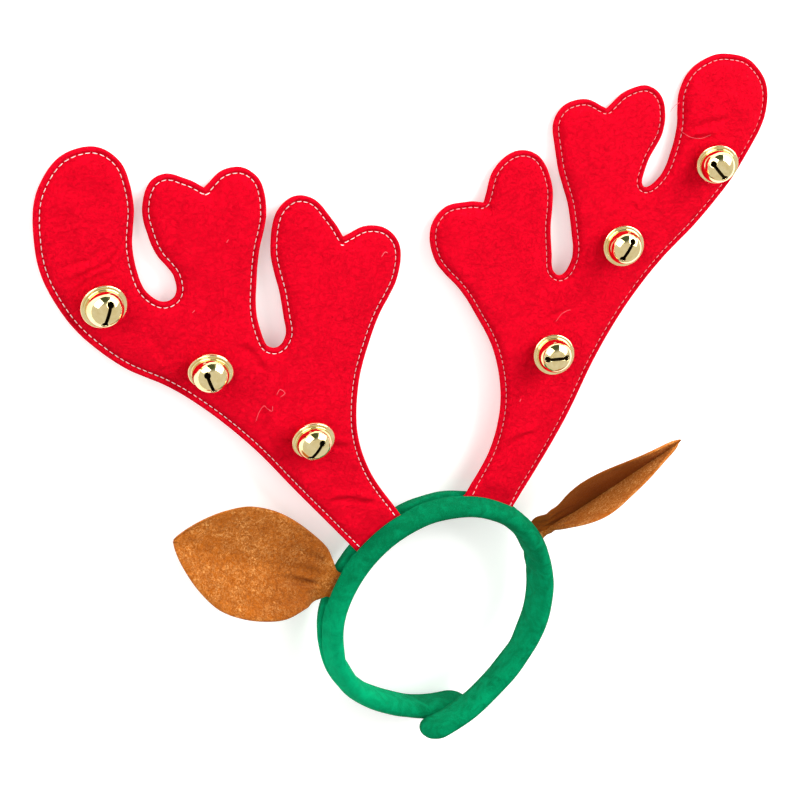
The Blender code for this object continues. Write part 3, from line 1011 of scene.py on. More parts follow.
@dataclass
class JingleBell:
    """A brass jingle bell: a rear cup whose rolled rim holds a slotted front dome.

    Args:
        dome_radius: The front dome's radius.
        wall_height: How high the dome's straight wall stands over the rim.
        crown_height: How far the dome's crown rises over that wall.
        crown_power: How square the crown is; 1 is an ellipse, less is squarer.
        rim_radius: The rolled rim's outer radius.
        cup_depth: The rear cup's depth.
        metal: The metal's thickness.
        hole_reach: From the dome's top to each end hole of the slot, along the metal.
        hole_radius: The end holes' radius.
        slit_half: Half the slit's width.
        lip: How far the metal turns in round the slot.
        rim_height: How far the rims stand over the antler's middle plane.
    """

    dome_radius: float = 8.45
    wall_height: float = 0.75
    crown_height: float = 8.0
    crown_power: float = 0.87
    rim_radius: float = 10.15
    cup_depth: float = 7.9
    metal: float = 0.45
    hole_reach: float = 5.1
    hole_radius: float = 1.6
    slit_half: float = 0.8
    lip: float = 0.14
    sides: int = 72
    rim_height: float = 10.25

    def crown(self) -> tuple[Array, Array, Array]:
        """The crown's section from its top to its wall.

        Returns:
            The length along the metal, and the radius and height there.
        """
        turn = np.linspace(0.0, math.pi / 2, 160)
        radius = self.dome_radius * np.sin(turn) ** self.crown_power
        height = self.wall_height + self.crown_height * np.maximum(np.cos(turn), 0.0) ** self.crown_power
        length = np.r_[0.0, np.cumsum(np.hypot(np.diff(radius), np.diff(height)))]
        return length, radius, height

    def slot_outline(self) -> Array:
        """The slot's outline on the unrolled dome: a slit with a round hole at each end."""
        neck = math.asin(self.slit_half / self.hole_radius)
        turn = np.linspace(-math.pi + neck, math.pi - neck, 21)
        end = np.c_[self.hole_reach + self.hole_radius * np.cos(turn), self.hole_radius * np.sin(turn)]
        side = np.linspace(end[-1, 0], -end[-1, 0], 9)[1:-1]
        upper = np.c_[side, np.full(len(side), end[-1, 1])]
        return np.vstack([end, upper, -end, -upper])

    def on_dome(self, flat: Array, inset: Array) -> Array:
        """Roll flat points onto the dome.

        Args:
            flat: Points of the unrolled dome.
            inset: How far each lies inside the dome's outer surface.

        Returns:
            The points in the bell's own frame.
        """
        length, radius, height = self.crown()
        run = np.hypot(flat[:, 0], flat[:, 1])
        slope_out = np.gradient(radius, length)
        slope_up = np.gradient(height, length)
        level = np.interp(run, length, height) - inset * np.interp(run, length, slope_out)
        reach = np.interp(run, length, radius) + inset * np.interp(run, length, slope_up)
        share = np.where(run > 1e-6, reach / np.maximum(run, 1e-6), 0.0)
        return np.c_[flat * share[:, None], level]

    def shell(self) -> tuple[Array, Faces, Faces]:
        """Build the slotted crown and the hollow behind it.

        Returns:
            The points, the crown's faces with the slot's edge, and the hollow's faces.
        """
        slot = Outline(self.slot_outline(), 0.5, 60.0)
        edge = slot.points
        everywhere = np.ones(len(edge), bool)
        reach = float(self.crown()[0][-1])
        circle = np.linspace(0, CIRCLE, self.sides, endpoint=False)
        ring = np.c_[np.cos(circle), np.sin(circle)] * reach
        banks = [edge - slot.inward * step for step in (0.0, 0.1, 0.22, 0.42, 0.75)]
        step, scattered = 0.6, []
        for k, run in enumerate(np.arange(reach - step, 0.0, -step)):
            count = max(8, round(2 * math.pi * run / step))
            around = np.linspace(0, CIRCLE, count, endpoint=False) + 0.37 * k
            scattered.append(np.c_[np.cos(around), np.sin(around)] * run)
        scattered = np.vstack(scattered)
        clear = ~slot.holds(scattered) & (slot.distances(scattered, everywhere) > 1.05)
        flat = np.vstack([ring, *banks, scattered[clear]])
        size, rim, count = len(ring), len(edge), len(flat)
        loops = [np.arange(size), np.arange(rim) + size]
        triangles = triangulate(flat, loops, lambda middles: ~slot.holds(middles))
        sunk = self.lip * (1 - np.clip(slot.distances(flat, everywhere) / 0.4, 0, 1)) ** 2
        outer, inner = self.on_dome(flat, sunk), self.on_dome(flat, sunk + self.metal)
        floor = inner[:size] * (1, 1, 0) + (0, 0, self.metal)
        points = np.vstack([outer, inner, floor, [[0.0, 0.0, self.metal]]])
        ahead = np.roll(np.arange(size), -1)
        hollow = [(a + count, c + count, b + count) for a, b, c in triangles]
        hollow += [(count + i, count + j, 2 * count + j, 2 * count + i) for i, j in enumerate(ahead)]
        hollow += [(2 * count + i, 2 * count + j, 2 * count + size) for i, j in enumerate(ahead)]
        ahead = np.roll(np.arange(rim), -1) + size
        lips = [(j, i + size, i + size + count, j + count) for i, j in enumerate(ahead)]
        plain = lambda faces: [tuple(int(i) for i in face) for face in faces]
        return points, triangles + plain(lips), plain(hollow)

    def profile(self) -> Array:
        """The turned part's section, as (radius, height) pairs from the crown to the cup's pole."""
        wall, rim = self.dome_radius, self.rim_radius
        table = [
            (wall, self.wall_height),
            (wall + 0.03, 0.62),
            (wall + 0.12, 0.51),
            (wall + 0.3, 0.45),
            (wall + 0.75, 0.50),
            (rim - 0.7, 0.55),
            (rim - 0.4, 0.52),
            (rim - 0.15, 0.38),
            (rim - 0.03, 0.18),
            (rim, -0.04),
            (rim - 0.06, -0.2),
            (rim - 0.2, -0.3),
            (rim - 0.46, -0.34),
            (rim - 0.5, -0.5),
            (rim - 0.34, -0.72),
        ]
        cup = rim - 0.25
        for k in range(1, 18):
            angle = math.radians(5 * k)
            table.append((cup * math.cos(angle), -0.6 - (self.cup_depth - 0.6) * math.sin(angle)))
        return np.array(table)

    def turned(self) -> tuple[Array, Faces]:
        """Turn the wall, the rim and the rear cup round the bell's axis.

        Returns:
            Their points and faces.
        """
        section = self.profile()
        around = np.linspace(0, CIRCLE, self.sides, endpoint=False)
        rings = [np.c_[r * np.cos(around), r * np.sin(around), np.full(self.sides, z)] for r, z in section]
        points = np.vstack([*rings, [[0.0, 0.0, -self.cup_depth]]])
        faces = [tuple(reversed(face)) for face in ring_faces(len(section), self.sides)]
        base, pole = (len(section) - 1) * self.sides, len(section) * self.sides
        faces += [(base + (i + 1) % self.sides, base + i, pole) for i in range(self.sides)]
        return points, faces

    def build(
        self, node: str, spot: BellSpot, lay: Matrix, brass: Material, hollow: Material
    ) -> Object:
        """Build one bell in its place.

        Args:
            node: The CAD node that it stands for.
            spot: Where it is sewn on.
            lay: The matrix from the band's frame to the model.
            brass: The material of its outside.
            hollow: The material of its inside.

        Returns:
            The bell.
        """
        dome, crown_faces, hollow_faces = self.shell()
        rest, rest_faces = self.turned()
        faces = hollow_faces + crown_faces + [tuple(i + len(dome) for i in face) for face in rest_faces]
        place = lay @ spot.place(self.rim_height)
        item = solid(node + "_brass", np.vstack([dome, rest]), faces, place, brass)
        item.data.materials.append(hollow)
        inside = np.zeros(len(faces), np.int32)
        inside[: len(hollow_faces)] = 1
        item.data.polygons.foreach_set("material_index", inside)
        whole = bmesh.new()
        whole.from_mesh(item.data)
        bmesh.ops.remove_doubles(whole, verts=whole.verts, dist=0.000004)
        whole.to_mesh(item.data)
        whole.free()
        item.data.shade_smooth()
        return item


@dataclass(frozen=True)
class BellSpot:
    """Where a bell is sewn on, in band millimetres, and how it leans and turns, in degrees."""

    x: float
    y: float
    lean_right: float
    lean_up: float
    slot_angle: float

    def place(self, height: float) -> Matrix:
        """The bell's matrix in the band's frame, with its rim at a height over the ring's plane."""
        across, up = math.sin(math.radians(self.lean_right)), math.sin(math.radians(self.lean_up))
        axis = Vector((across, up, math.sqrt(1.0 - across * across - up * up)))
        angle = math.radians(self.slot_angle)
        along = Vector((math.cos(angle), math.sin(angle), 0.0))
        along = (along - axis * along.dot(axis)).normalized()
        turn = Matrix((along, axis.cross(along), axis)).transposed().to_4x4()
        return Matrix.Translation(Vector((self.x, self.y, height))) @ turn


BELL_SPOTS: dict[str, BellSpot] = {
    "bell_left_1": BellSpot(-159.2, 199.5, -4.0, -8.0, 71.0),
    "bell_left_2": BellSpot(-114.1, 159.4, -18.5, -18.0, 105.0),
    "bell_left_3": BellSpot(-66.9, 114.6, -10.0, -14.0, 57.0),
    "bell_right_1": BellSpot(61.1, 131.9, -15.5, 7.5, -1.6),
    "bell_right_2": BellSpot(99.4, 181.3, -15.0, 2.5, 57.5),
    "bell_right_3": BellSpot(151.8, 214.2, -26.0, -9.0, 132.5),
}


# The band


@dataclass(frozen=True)
class Tuck:
    """A soft fold across the band: where it is, how far it runs and how deep it is."""

    angle: float
    half_width: float
    depth: float
    side: float
    reach: float = 1.1


@dataclass
class PlushBand:
    """The padded band, with a seam along its outer face and its two ends closed.

    Args:
        width: From its front edge to its back edge, in millimetres.
        thickness: From its inner to its outer face.
        squareness: How square its section is; 1 is an ellipse, less is squarer.
        end_round: The length over which each end rounds off.
        angles: Where the band's route is given, in degrees from the ring's top.
        radii: The route's distance from the centre there.
        forwards: How far forwards it lies there.
        rolls: How far the band is rolled about its route there.
        seam_half: Half the seam's width.
        seam_depth: Its depth.
        lip_round: How softly the plush turns into the seam.
        lip_height: How far it swells beside the seam, lip_offset from it.
        pockets: Where the seam opens for a root, from one angle to another.
        painted_light: Painted light and shade along the band, 1 where the pile is painted palest.
        painted_rear_shade: How much darker the band's rear side is painted, as shade.
        tucks: Its soft folds.
    """

    width: float = 22.0
    thickness: float = 10.0
    squareness: float = 0.85
    end_round: float = 9.0
    angles: tuple[float, ...] = (
        -197, -175, -155, -130, -100, -75, -40, -10, 20, 50, 85, 110, 135, 155, 175, 193,
    )
    radii: tuple[float, ...] = (
        71.4, 65.0, 60.0, 58.8, 59.1, 59.5, 58.4, 58.2, 58.4, 59.5, 59.4, 59.5, 59.1, 59.2, 62.3, 67.0,
    )
    forwards: tuple[float, ...] = (
        -12.0, -11.0, -8.4, -5.0, -2.0, 0, 0, 0, 0, 0, 0, 0.6, 2.3, 5.2, 8.2, 9.8,
    )
    rolls: tuple[float, ...] = (8, 9, 5, 3, 2, 0, 0, 0, 0, 0, 0, 6, 15, 19, 20, 12)
    seam_half: float = 0.3
    seam_depth: float = 4.0
    lip_round: float = 1.3
    lip_height: float = 0.55
    lip_offset: float = 2.6
    lip_width: float = 1.9
    pockets: tuple[tuple[float, float], ...] = ((-45.1, -17.2), (13.9, 42.8), (-70.6, -55.4), (55.4, 70.6))
    pocket_half: float = 1.15
    pocket_depth: float = 4.2
    step_deg: float = 0.9
    around: int = 92
    # Painted light and shade along the band, from dark 0 to pale 1 at each angle.
    painted_light: Table = Table(
        (-197.0, -180.0, -165.0, -145.0, -110.0, -70.0, -40.0, 0.0, 60.0, 95.0, 120.0, 150.0, 193.0),
        (0.02, 0.05, 0.15, 0.55, 0.95, 0.60, 0.15, 0.02, 0.20, 0.31, 0.28, 0.25, 0.35),
    )
    painted_rear_shade: float = 0.35
    tucks: tuple[Tuck, ...] = (
        Tuck(74.0, 2.2, 0.9, math.pi, 1.3),
        Tuck(84.0, 3.0, 0.8, math.pi * 0.9, 1.2),
        Tuck(-102.0, 4.0, 0.7, math.pi * 1.05, 1.2),
        Tuck(-125.0, 5.0, 0.6, math.pi * 0.8, 1.0),
        Tuck(128.0, 5.0, 0.5, math.pi * 1.1, 1.2),
        Tuck(-88.0, 2.5, 0.5, 0.6, 0.6),
        Tuck(-14.0, 1.6, 0.7, 0.35, 0.5),
        Tuck(10.0, 1.6, 0.7, 0.35, 0.5),
        Tuck(-50.0, 2.0, 0.6, 0.4, 0.5),
        Tuck(48.0, 2.0, 0.6, 0.4, 0.5),
    )

    def section_angles(self) -> Array:
        """The section's parameter, from the seam round to the seam, closer at the seam."""
        even = (np.arange(self.around) + 0.5) / self.around * 2 - 1
        return math.pi * (even + 1 - 0.55 * np.sin(math.pi * (even + 1)) / math.pi)

    def section(self, degrees: float, t: Array) -> tuple[Array, Array]:
        """The band's section at one angle of the ring.

        Args:
            degrees: The angle from the ring's top.
            t: The section's parameter, 0 at the seam and pi at the inner face.

        Returns:
            How far outwards and how far forwards each point is.
        """
        rounded = lambda v: np.sign(v) * np.abs(v) ** self.squareness
        out = self.thickness / 2 * rounded(np.cos(t))
        forward = self.width / 2 * rounded(np.sin(t))
        openings = [ease(degrees, a - 2.0, a) * (1 - ease(degrees, b, b + 2.0)) for a, b in self.pockets]
        open_share = float(max(openings))
        half = self.seam_half + (self.pocket_half - self.seam_half) * open_share
        depth = self.seam_depth + (self.pocket_depth - self.seam_depth) * open_share
        off = np.abs(forward)
        outer = np.cos(t) > 0
        slit = np.where(outer, depth * (1 - ease(off, half * 0.5, half + self.lip_round)), 0.0)
        lips = np.where(outer, self.lip_height * bump(off, half + self.lip_offset, self.lip_width), 0.0)
        swell = Ripples(0.13, 22.0, 31).at(np.full_like(t, degrees * 1.04), 9.0 * t)
        for tuck in self.tucks:
            away = np.abs((t - tuck.side + math.pi) % (2 * math.pi) - math.pi)
            depth_here = tuck.depth * bump(np.full_like(t, degrees), tuck.angle, tuck.half_width)
            swell = swell - depth_here * bump(away, 0.0, tuck.reach)
        grow = 1 + swell / self.thickness * 2
        return out * grow - slit + lips, forward * (1 + 0.35 * (grow - 1))

    def rings(self) -> Array:
        """The band's sections in place, one block of points each."""
        first, last = self.angles[0], self.angles[-1]
        stations = np.linspace(first, last, round((last - first) / self.step_deg) + 1)
        near_ends = np.array([0.15, 0.4, 0.8, 1.4, 2.2])
        stations = np.sort(np.r_[stations, first + near_ends, last - near_ends])
        radius, lean = Table(self.angles, self.radii), Table(self.angles, self.forwards)
        roll = np.radians(Table(self.angles, self.rolls).at(stations))

        def centre(degrees: Array) -> Array:
            """The band's middle line."""
            shift = np.c_[np.zeros((len(degrees), 2)), lean.at(degrees)]
            return outward(degrees) * radius.at(degrees)[:, None] + shift

        middle = centre(stations)
        along = centre(stations + 0.5) - centre(stations - 0.5)
        along[0], along[-1] = middle[1] - middle[0], middle[-1] - middle[-2]
        along /= np.linalg.norm(along, axis=1)[:, None]
        out = outward(stations)
        out -= along * (out * along).sum(1)[:, None]
        out /= np.linalg.norm(out, axis=1)[:, None]
        forward = np.cross(out, along)
        forward *= np.sign(forward[:, 2])[:, None]
        lengths = np.r_[0, np.cumsum(np.linalg.norm(np.diff(middle, axis=0), axis=1))]
        to_end = np.minimum(lengths, lengths[-1] - lengths)
        scale = np.sqrt(np.maximum(1 - np.maximum(0, 1 - to_end / self.end_round) ** 2, 0.0004))
        t = self.section_angles()
        blocks = []
        for i, degrees in enumerate(stations):
            rolled_out = out[i] * math.cos(roll[i]) + forward[i] * math.sin(roll[i])
            rolled_forward = forward[i] * math.cos(roll[i]) - out[i] * math.sin(roll[i])
            outwards, forwards = self.section(float(degrees), t)
            across = np.outer(outwards, rolled_out) + np.outer(forwards, rolled_forward)
            blocks.append(middle[i] + scale[i] * across)
        return np.array(blocks)

    def build(self, lay: Matrix, plush: Material) -> Object:
        """Build the band.

        Args:
            lay: The matrix from the band's frame to the model.
            plush: The plush's material.

        Returns:
            The band.
        """
        rings = self.rings()
        count = rings.shape[1]
        points = np.vstack([rings.reshape(-1, 3), rings[0].mean(0), rings[-1].mean(0)])
        faces = ring_faces(len(rings), count)
        last = (len(rings) - 1) * count
        start_pole, end_pole = len(points) - 2, len(points) - 1
        faces += [((i + 1) % count, i, start_pole) for i in range(count)]
        faces += [(last + i, last + (i + 1) % count, end_pole) for i in range(count)]
        item = solid("headband_plush", points, faces, lay, plush)
        # Painted light and shade: each section is painted lighter or darker by its place along the band, and
        # its rear side darker still, as shade.
        lightness = self.painted_light.at(np.linspace(self.angles[0], self.angles[-1], len(rings)))
        shaded = self.painted_rear_shade * ease(-np.sin(self.section_angles()), 0.1, 0.6)
        values = np.r_[(lightness[:, None] - shaded).ravel(), lightness[0], lightness[-1]].astype(np.float32)
        item.data.attributes.new("painted_light", "FLOAT", "POINT").data.foreach_set("value", values)
        outward_facing(item)
        return item


def outward_facing(item: Object) -> None:
    """Turn a closed mesh's faces outwards."""
    mesh = bmesh.new()
    mesh.from_mesh(item.data)
    bmesh.ops.recalc_face_normals(mesh, faces=mesh.faces)
    mesh.to_mesh(item.data)
    mesh.free()
    item.data.shade_smooth()


# The ears


@dataclass
class PlushEar:
    """A leaf-shaped ear, its two halves folded forwards along the midrib.

    Args:
        node: The CAD node that it stands for.
        seat_deg: Where on the ring it is sewn in.
        lead: How far outwards its midrib's guide point is.
        sway: How far up that point is.
        tip: The ear's tip in the band's frame.
        upper_fold_deg: How far its upper half is folded forwards.
        lower_fold_deg: The same for its lower half.
        seed: What its unevenness starts from.
        shaded_half: Whether its upper half is painted dark, as shade.
        pleat: The depth of the pleat at its base.
        glitter: How much its glitter shows, and how much painted light the whole ear gets.
        upper_flare: How much wider its upper half is near the base.
        lower_trim: How much narrower its lower half is, at trim_at.
        leaf: Its half width along its midrib.
        cup: How far each half sags between its edges.
        ridge: How far the midrib is softened.
        gathers: The height of the gathers at its base.
    """

    node: str
    seat_deg: float
    lead: float
    sway: float
    tip: Triple
    upper_fold_deg: float
    lower_fold_deg: float
    seed: int
    shaded_half: bool = False
    pleat: float = 0.0
    glitter: float = 1.0
    upper_flare: float = 0.0
    lower_trim: float = 0.0
    trim_at: float = 0.10
    trim_reach: float = 0.05
    seat_radius: float = 61.2
    thickness: float = 1.6
    seated_to: float = 0.06
    folded_by: float = 0.15
    cup: float = 0.54
    ridge: float = 0.5
    gathers: float = 0.35
    leaf: Table = Table(
        (0.00, 0.030, 0.060, 0.11, 0.20, 0.33, 0.46, 0.60, 0.71, 0.83, 0.93, 1.00),
        (7.2, 7.8, 12.0, 17.5, 22.6, 27.3, 29.3, 28.0, 23.5, 16.5, 8.5, 0.8),
    )
    rows: int = 90
    columns: int = 30

    def midrib(self, share: float) -> tuple[Vector, Vector]:
        """A point of the midrib and its direction there."""
        out = Vector(outward(self.seat_deg))
        seat = out * self.seat_radius
        up = Vector((-math.copysign(abs(out.y), out.x), abs(out.x), 0.0))
        guide = seat + out * self.lead + up * self.sway
        tip, rest = Vector(self.tip), 1.0 - share
        point = seat * rest * rest + guide * 2 * share * rest + tip * share * share
        heading = (guide - seat) * 2 * rest + (tip - guide) * 2 * share
        return point, heading.normalized()

    def row(self, share: float) -> tuple[list[Vector], list[Vector]]:
        """One row across the ear, from its lower edge to its upper edge.

        Args:
            share: The share of the midrib's length.

        Returns:
            The row's points, and the direction out of the front face at each.
        """
        point, along = self.midrib(share)
        fold = float(ease(share, self.seated_to, self.folded_by))
        along = Vector(outward(self.seat_deg)).lerp(along, fold).normalized()
        forward = Vector((0.0, 0.0, 1.0))
        forward = (forward - along * forward.dot(along)).normalized()
        up = forward.cross(along)
        if up.y < 0:
            up = -up
        width = float(self.leaf.at(share))
        upper, lower = math.radians(self.upper_fold_deg) * fold, math.radians(self.lower_fold_deg) * fold
        points, normals = [], []
        for k in range(-self.columns, self.columns + 1):
            across = k / self.columns
            angle = upper if across >= 0 else lower
            side = 1.0 if across >= 0 else -1.0
            trim = self.upper_flare * bump(share, 0.13, 0.08)
            if across < 0:
                trim = -self.lower_trim * bump(share, self.trim_at, self.trim_reach)
            run = abs(across) * width * (1 + trim)
            direction = up * (side * math.cos(angle)) + forward * math.sin(angle)
            face = forward * math.cos(angle) - up * (side * math.sin(angle))
            soft = math.exp(-((run / 2.2) ** 2))
            face = face.lerp(forward, soft).normalized()
            cup = self.cup * math.sin(math.pi * min(abs(across), 1.0)) * fold
            points.append(point + direction * run + face * (self.ridge * soft * fold - cup))
            normals.append(face)
        return points, normals

    def build(self, lay: Matrix, plush: Material) -> Object:
        """Build the ear.

        Args:
            lay: The matrix from the band's frame to the model.
            plush: The ear's material.

        Returns:
            The ear, with its painted light and shade in an attribute for the material.
        """
        fronts, backs, painted_light = [], [], []
        across = np.linspace(-1, 1, 2 * self.columns + 1)
        for i in range(self.rows + 1):
            share = i / self.rows
            points, normals = self.row(share)
            line, face = np.array([p[:] for p in points]), np.array([n[:] for n in normals])
            near_base = (1 - float(ease(share, 0.1, 0.42))) * float(ease(share, 0.07, 0.14))
            gathers = self.gathers * near_base * np.sin(across * 17.0 + 3.0 * share * self.seed)
            pleat = -self.pleat * near_base * bump(across, -0.12, 0.10)
            ripples = Ripples(1.0, 0.9, self.seed).at(across, np.full_like(across, 2.2 * share))
            waves = 0.35 * float(ease(share, 0.1, 0.3)) * ripples
            line = line + face * (gathers + pleat + waves)[:, None]
            edge = np.sqrt(np.maximum(1 - np.abs(across) ** 14, 0.0))
            tip = math.sqrt(max(1 - share**30, 0.0))
            half = (self.thickness / 2 * edge * tip + 0.02)[:, None]
            fronts.append(line + face * half)
            backs.append(line - face * half)
            # Painted shade: a shaded_half ear's upper half is painted dark, fading out towards the tip.
            shade = 0.95 * (1 - float(ease(share, 0.72, 0.95))) if self.shaded_half else 0.0
            upper = 1 - shade * ease(across, -0.02, 0.04)
            # The painted light is scaled by glitter and lowered near the base, as painted shade where the ear
            # is gathered into the band.
            painted_light.append(self.glitter * upper * (1 - 0.45 * near_base))
        count, rows = len(across), self.rows + 1
        points = np.vstack([np.vstack(fronts), np.vstack(backs)])
        under = count * rows
        faces = ring_faces(rows, count, closed=False)
        faces += [tuple(i + under for i in reversed(face)) for face in ring_faces(rows, count, closed=False)]
        border = list(range(count)) + [r * count + count - 1 for r in range(1, rows)]
        border += [(rows - 1) * count + k for k in range(count - 2, -1, -1)]
        border += [r * count for r in range(rows - 2, 0, -1)]
        faces += [(a, a + under, b + under, b) for a, b in zip(border, border[1:] + border[:1])]
        item = solid(self.node + "_plush", points, faces, lay, plush)
        values = np.tile(np.concatenate(painted_light), 2).astype(np.float32)
        item.data.attributes.new("painted_light", "FLOAT", "POINT").data.foreach_set("value", values)
        outward_facing(item)
        return item


# Loose threads


@dataclass(frozen=True)
class Lint:
    """A loose fibre that lies on the felt, as points in band millimetres."""

    points: tuple[tuple[float, float], ...]
    radius: float = 0.09


@dataclass
class LooseFibres:
    """The few pale fibres that cling to the antlers."""

    fibres: tuple[Lint, ...]
    height: float = 3.0
    sides: int = 5

    def build(self, name: str, lay: Matrix, thread: Material, carrier: Object) -> Object:
        """Lay the fibres on the felt under them.

        Args:
            name: The piece's name.
            lay: The matrix from the band's frame to the model.
            thread: Their material.
            carrier: The antler that they lie on.

        Returns:
            The fibres, as one mesh.
        """
        blocks, faces, first = [], [], 0
        back = lay.inverted()
        down = (lay.to_3x3() @ Vector((0, 0, -1))).normalized()
        for fibre in self.fibres:
            keys = tuple(float(i) for i in range(len(fibre.points)))
            run = np.linspace(0, keys[-1], 8 * (len(keys) - 1) + 1)
            x = Table(keys, tuple(p[0] for p in fibre.points)).at(run)
            y = Table(keys, tuple(p[1] for p in fibre.points)).at(run)
            level = []
            for px, py in zip(x, y):
                hit, spot, _, _ = carrier.ray_cast(lay @ Vector((px, py, 30.0)), down)
                level.append((back @ spot).z if hit else self.height)
            line = np.c_[x, y, np.array(level) + fibre.radius * 0.6]
            along = np.gradient(line, axis=0)
            along /= np.linalg.norm(along, axis=1)[:, None]
            side = np.cross(along, (0, 0, 1))
            side /= np.linalg.norm(side, axis=1)[:, None]
            up = np.cross(side, along)
            taper = fibre.radius * np.sqrt(np.maximum(1 - np.linspace(-1, 1, len(line)) ** 6, 0.01))
            for k in range(len(line)):
                angle = np.linspace(0, CIRCLE, self.sides, endpoint=False)
                ring = np.outer(np.cos(angle), side[k]) + np.outer(np.sin(angle), up[k])
                blocks.append(line[k] + ring * taper[k])
            faces += [tuple(i + first for i in face) for face in ring_faces(len(line), self.sides)]
            faces.append(tuple(first + i for i in reversed(range(self.sides))))
            faces.append(tuple(first + (len(line) - 1) * self.sides + i for i in range(self.sides)))
            first += len(line) * self.sides
        item = solid(name, np.vstack(blocks), faces, lay, thread)
        outward_facing(item)
        return item


# The studio


@dataclass(frozen=True)
class Softbox:
    """A soft area light."""

    name: str
    place: Triple
    size: float
    power: float
    aim: Triple = (0.0, 0.0, 0.0)

    def build(self) -> None:
        """Hang the light."""
        data = bpy.data.lights.new(self.name, "AREA")
        data.shape = "SQUARE"
        data.size = self.size
        data.energy = self.power
        item = bpy.data.objects.new(self.name, data)
        item.location = self.place
        item.rotation_euler = (Vector(self.aim) - Vector(self.place)).to_track_quat("-Z", "Y").to_euler()
        bpy.context.scene.collection.objects.link(item)


@dataclass(frozen=True)
class Studio:
    """The pale floor, the soft lights and the camera.

    Args:
        eye: The camera's place in the band's frame, in millimetres.
        right: The picture's right in the band's frame.
        down: The picture's downward direction in the band's frame.
        lens: The camera's focal length.
        sensor: The camera's sensor width.
        softboxes: The soft lights.
        ambient: The strength of the even light.
        floor_level: The floor's height, just clear of the lowest stitches.
        floor_reach: Half the floor's width.
        gap_direction: Towards the middle of the darker gap.
    """

    eye: Triple = (-339.1, 478.6, 716.4)
    right: Triple = (0.90633, -0.02917, 0.42155)
    down: Triple = (-0.19906, -0.90946, 0.36505)
    lens: float = 81.0
    sensor: float = 36.0
    softboxes: tuple[Softbox, ...] = (
        Softbox("softbox_left", (-1.1, 1.15, 0.75), 1.3, 28.0),
        Softbox("softbox_right", (1.25, 1.05, 0.9), 1.6, 53.0),
    )
    ambient: float = 0.74
    floor_level: float = -0.0005
    floor_reach: float = 6.0
    gap_direction: Triple = (-0.10, 0.95, 0.30)

    def camera(self, lay: Matrix) -> None:
        """Set up the camera where the photograph was taken from.

        Args:
            lay: The matrix from the band's frame to the model.
        """
        data = bpy.data.cameras.new("camera")
        data.lens = self.lens
        data.sensor_width = self.sensor
        data.clip_start, data.clip_end = 0.05, 20.0
        item = bpy.data.objects.new("camera", data)
        bpy.context.scene.collection.objects.link(item)
        turn = lay.to_3x3().normalized()
        right = (turn @ Vector(self.right)).normalized()
        up = -(turn @ Vector(self.down))
        up = (up - right * up.dot(right)).normalized()
        basis = Matrix((right, up, right.cross(up))).transposed()
        item.matrix_world = Matrix.Translation(lay @ Vector(self.eye)) @ basis.to_4x4()
        bpy.context.scene.camera = item

    def world(self) -> None:
        """Give the room an even pale light with one darker gap between the softboxes."""
        world = bpy.data.worlds.new("studio")
        world.use_nodes = True
        nodes, links = world.node_tree.nodes, world.node_tree.links
        background = nodes["Background"]
        coordinates = nodes.new("ShaderNodeTexCoord")
        dot = nodes.new("ShaderNodeVectorMath")
        dot.operation = "DOT_PRODUCT"
        links.new(coordinates.outputs["Generated"], dot.inputs[0])
        dot.inputs[1].default_value = Vector(self.gap_direction).normalized()
        edge = nodes.new("ShaderNodeMapRange")
        links.new(dot.outputs["Value"], edge.inputs["Value"])
        edge.inputs["From Min"].default_value = 0.70
        edge.inputs["From Max"].default_value = 0.93
        mix = nodes.new("ShaderNodeMix")
        mix.data_type = "RGBA"
        links.new(edge.outputs["Result"], mix.inputs["Factor"])
        mix.inputs[6].default_value = (1.0, 0.98, 0.95, 1.0)
        mix.inputs[7].default_value = (0.10, 0.14, 0.08, 1.0)
        links.new(mix.outputs[2], background.inputs["Color"])
        background.inputs["Strength"].default_value = self.ambient
        bpy.context.scene.world = world

    def floor(self) -> None:
        """Lay the floor."""
        mesh = bpy.data.meshes.new("floor")
        reach, corners = self.floor_reach, ((-1, -1), (1, -1), (1, 1), (-1, 1))
        mesh.from_pydata([(x * reach, y * reach, self.floor_level) for x, y in corners], [], [(0, 1, 2, 3)])
        mesh.materials.append(FloorFinish().make())
        item = bpy.data.objects.new("floor", mesh)
        bpy.context.scene.collection.objects.link(item)

    def build(self, lay: Matrix) -> None:
        """Build the studio."""
        self.camera(lay)
        self.world()
        self.floor()
        for softbox in self.softboxes:
            softbox.build()
        bpy.context.scene.view_settings.view_transform = "Standard"
        LOG.info("studio: %d softboxes", len(self.softboxes))


# The headband


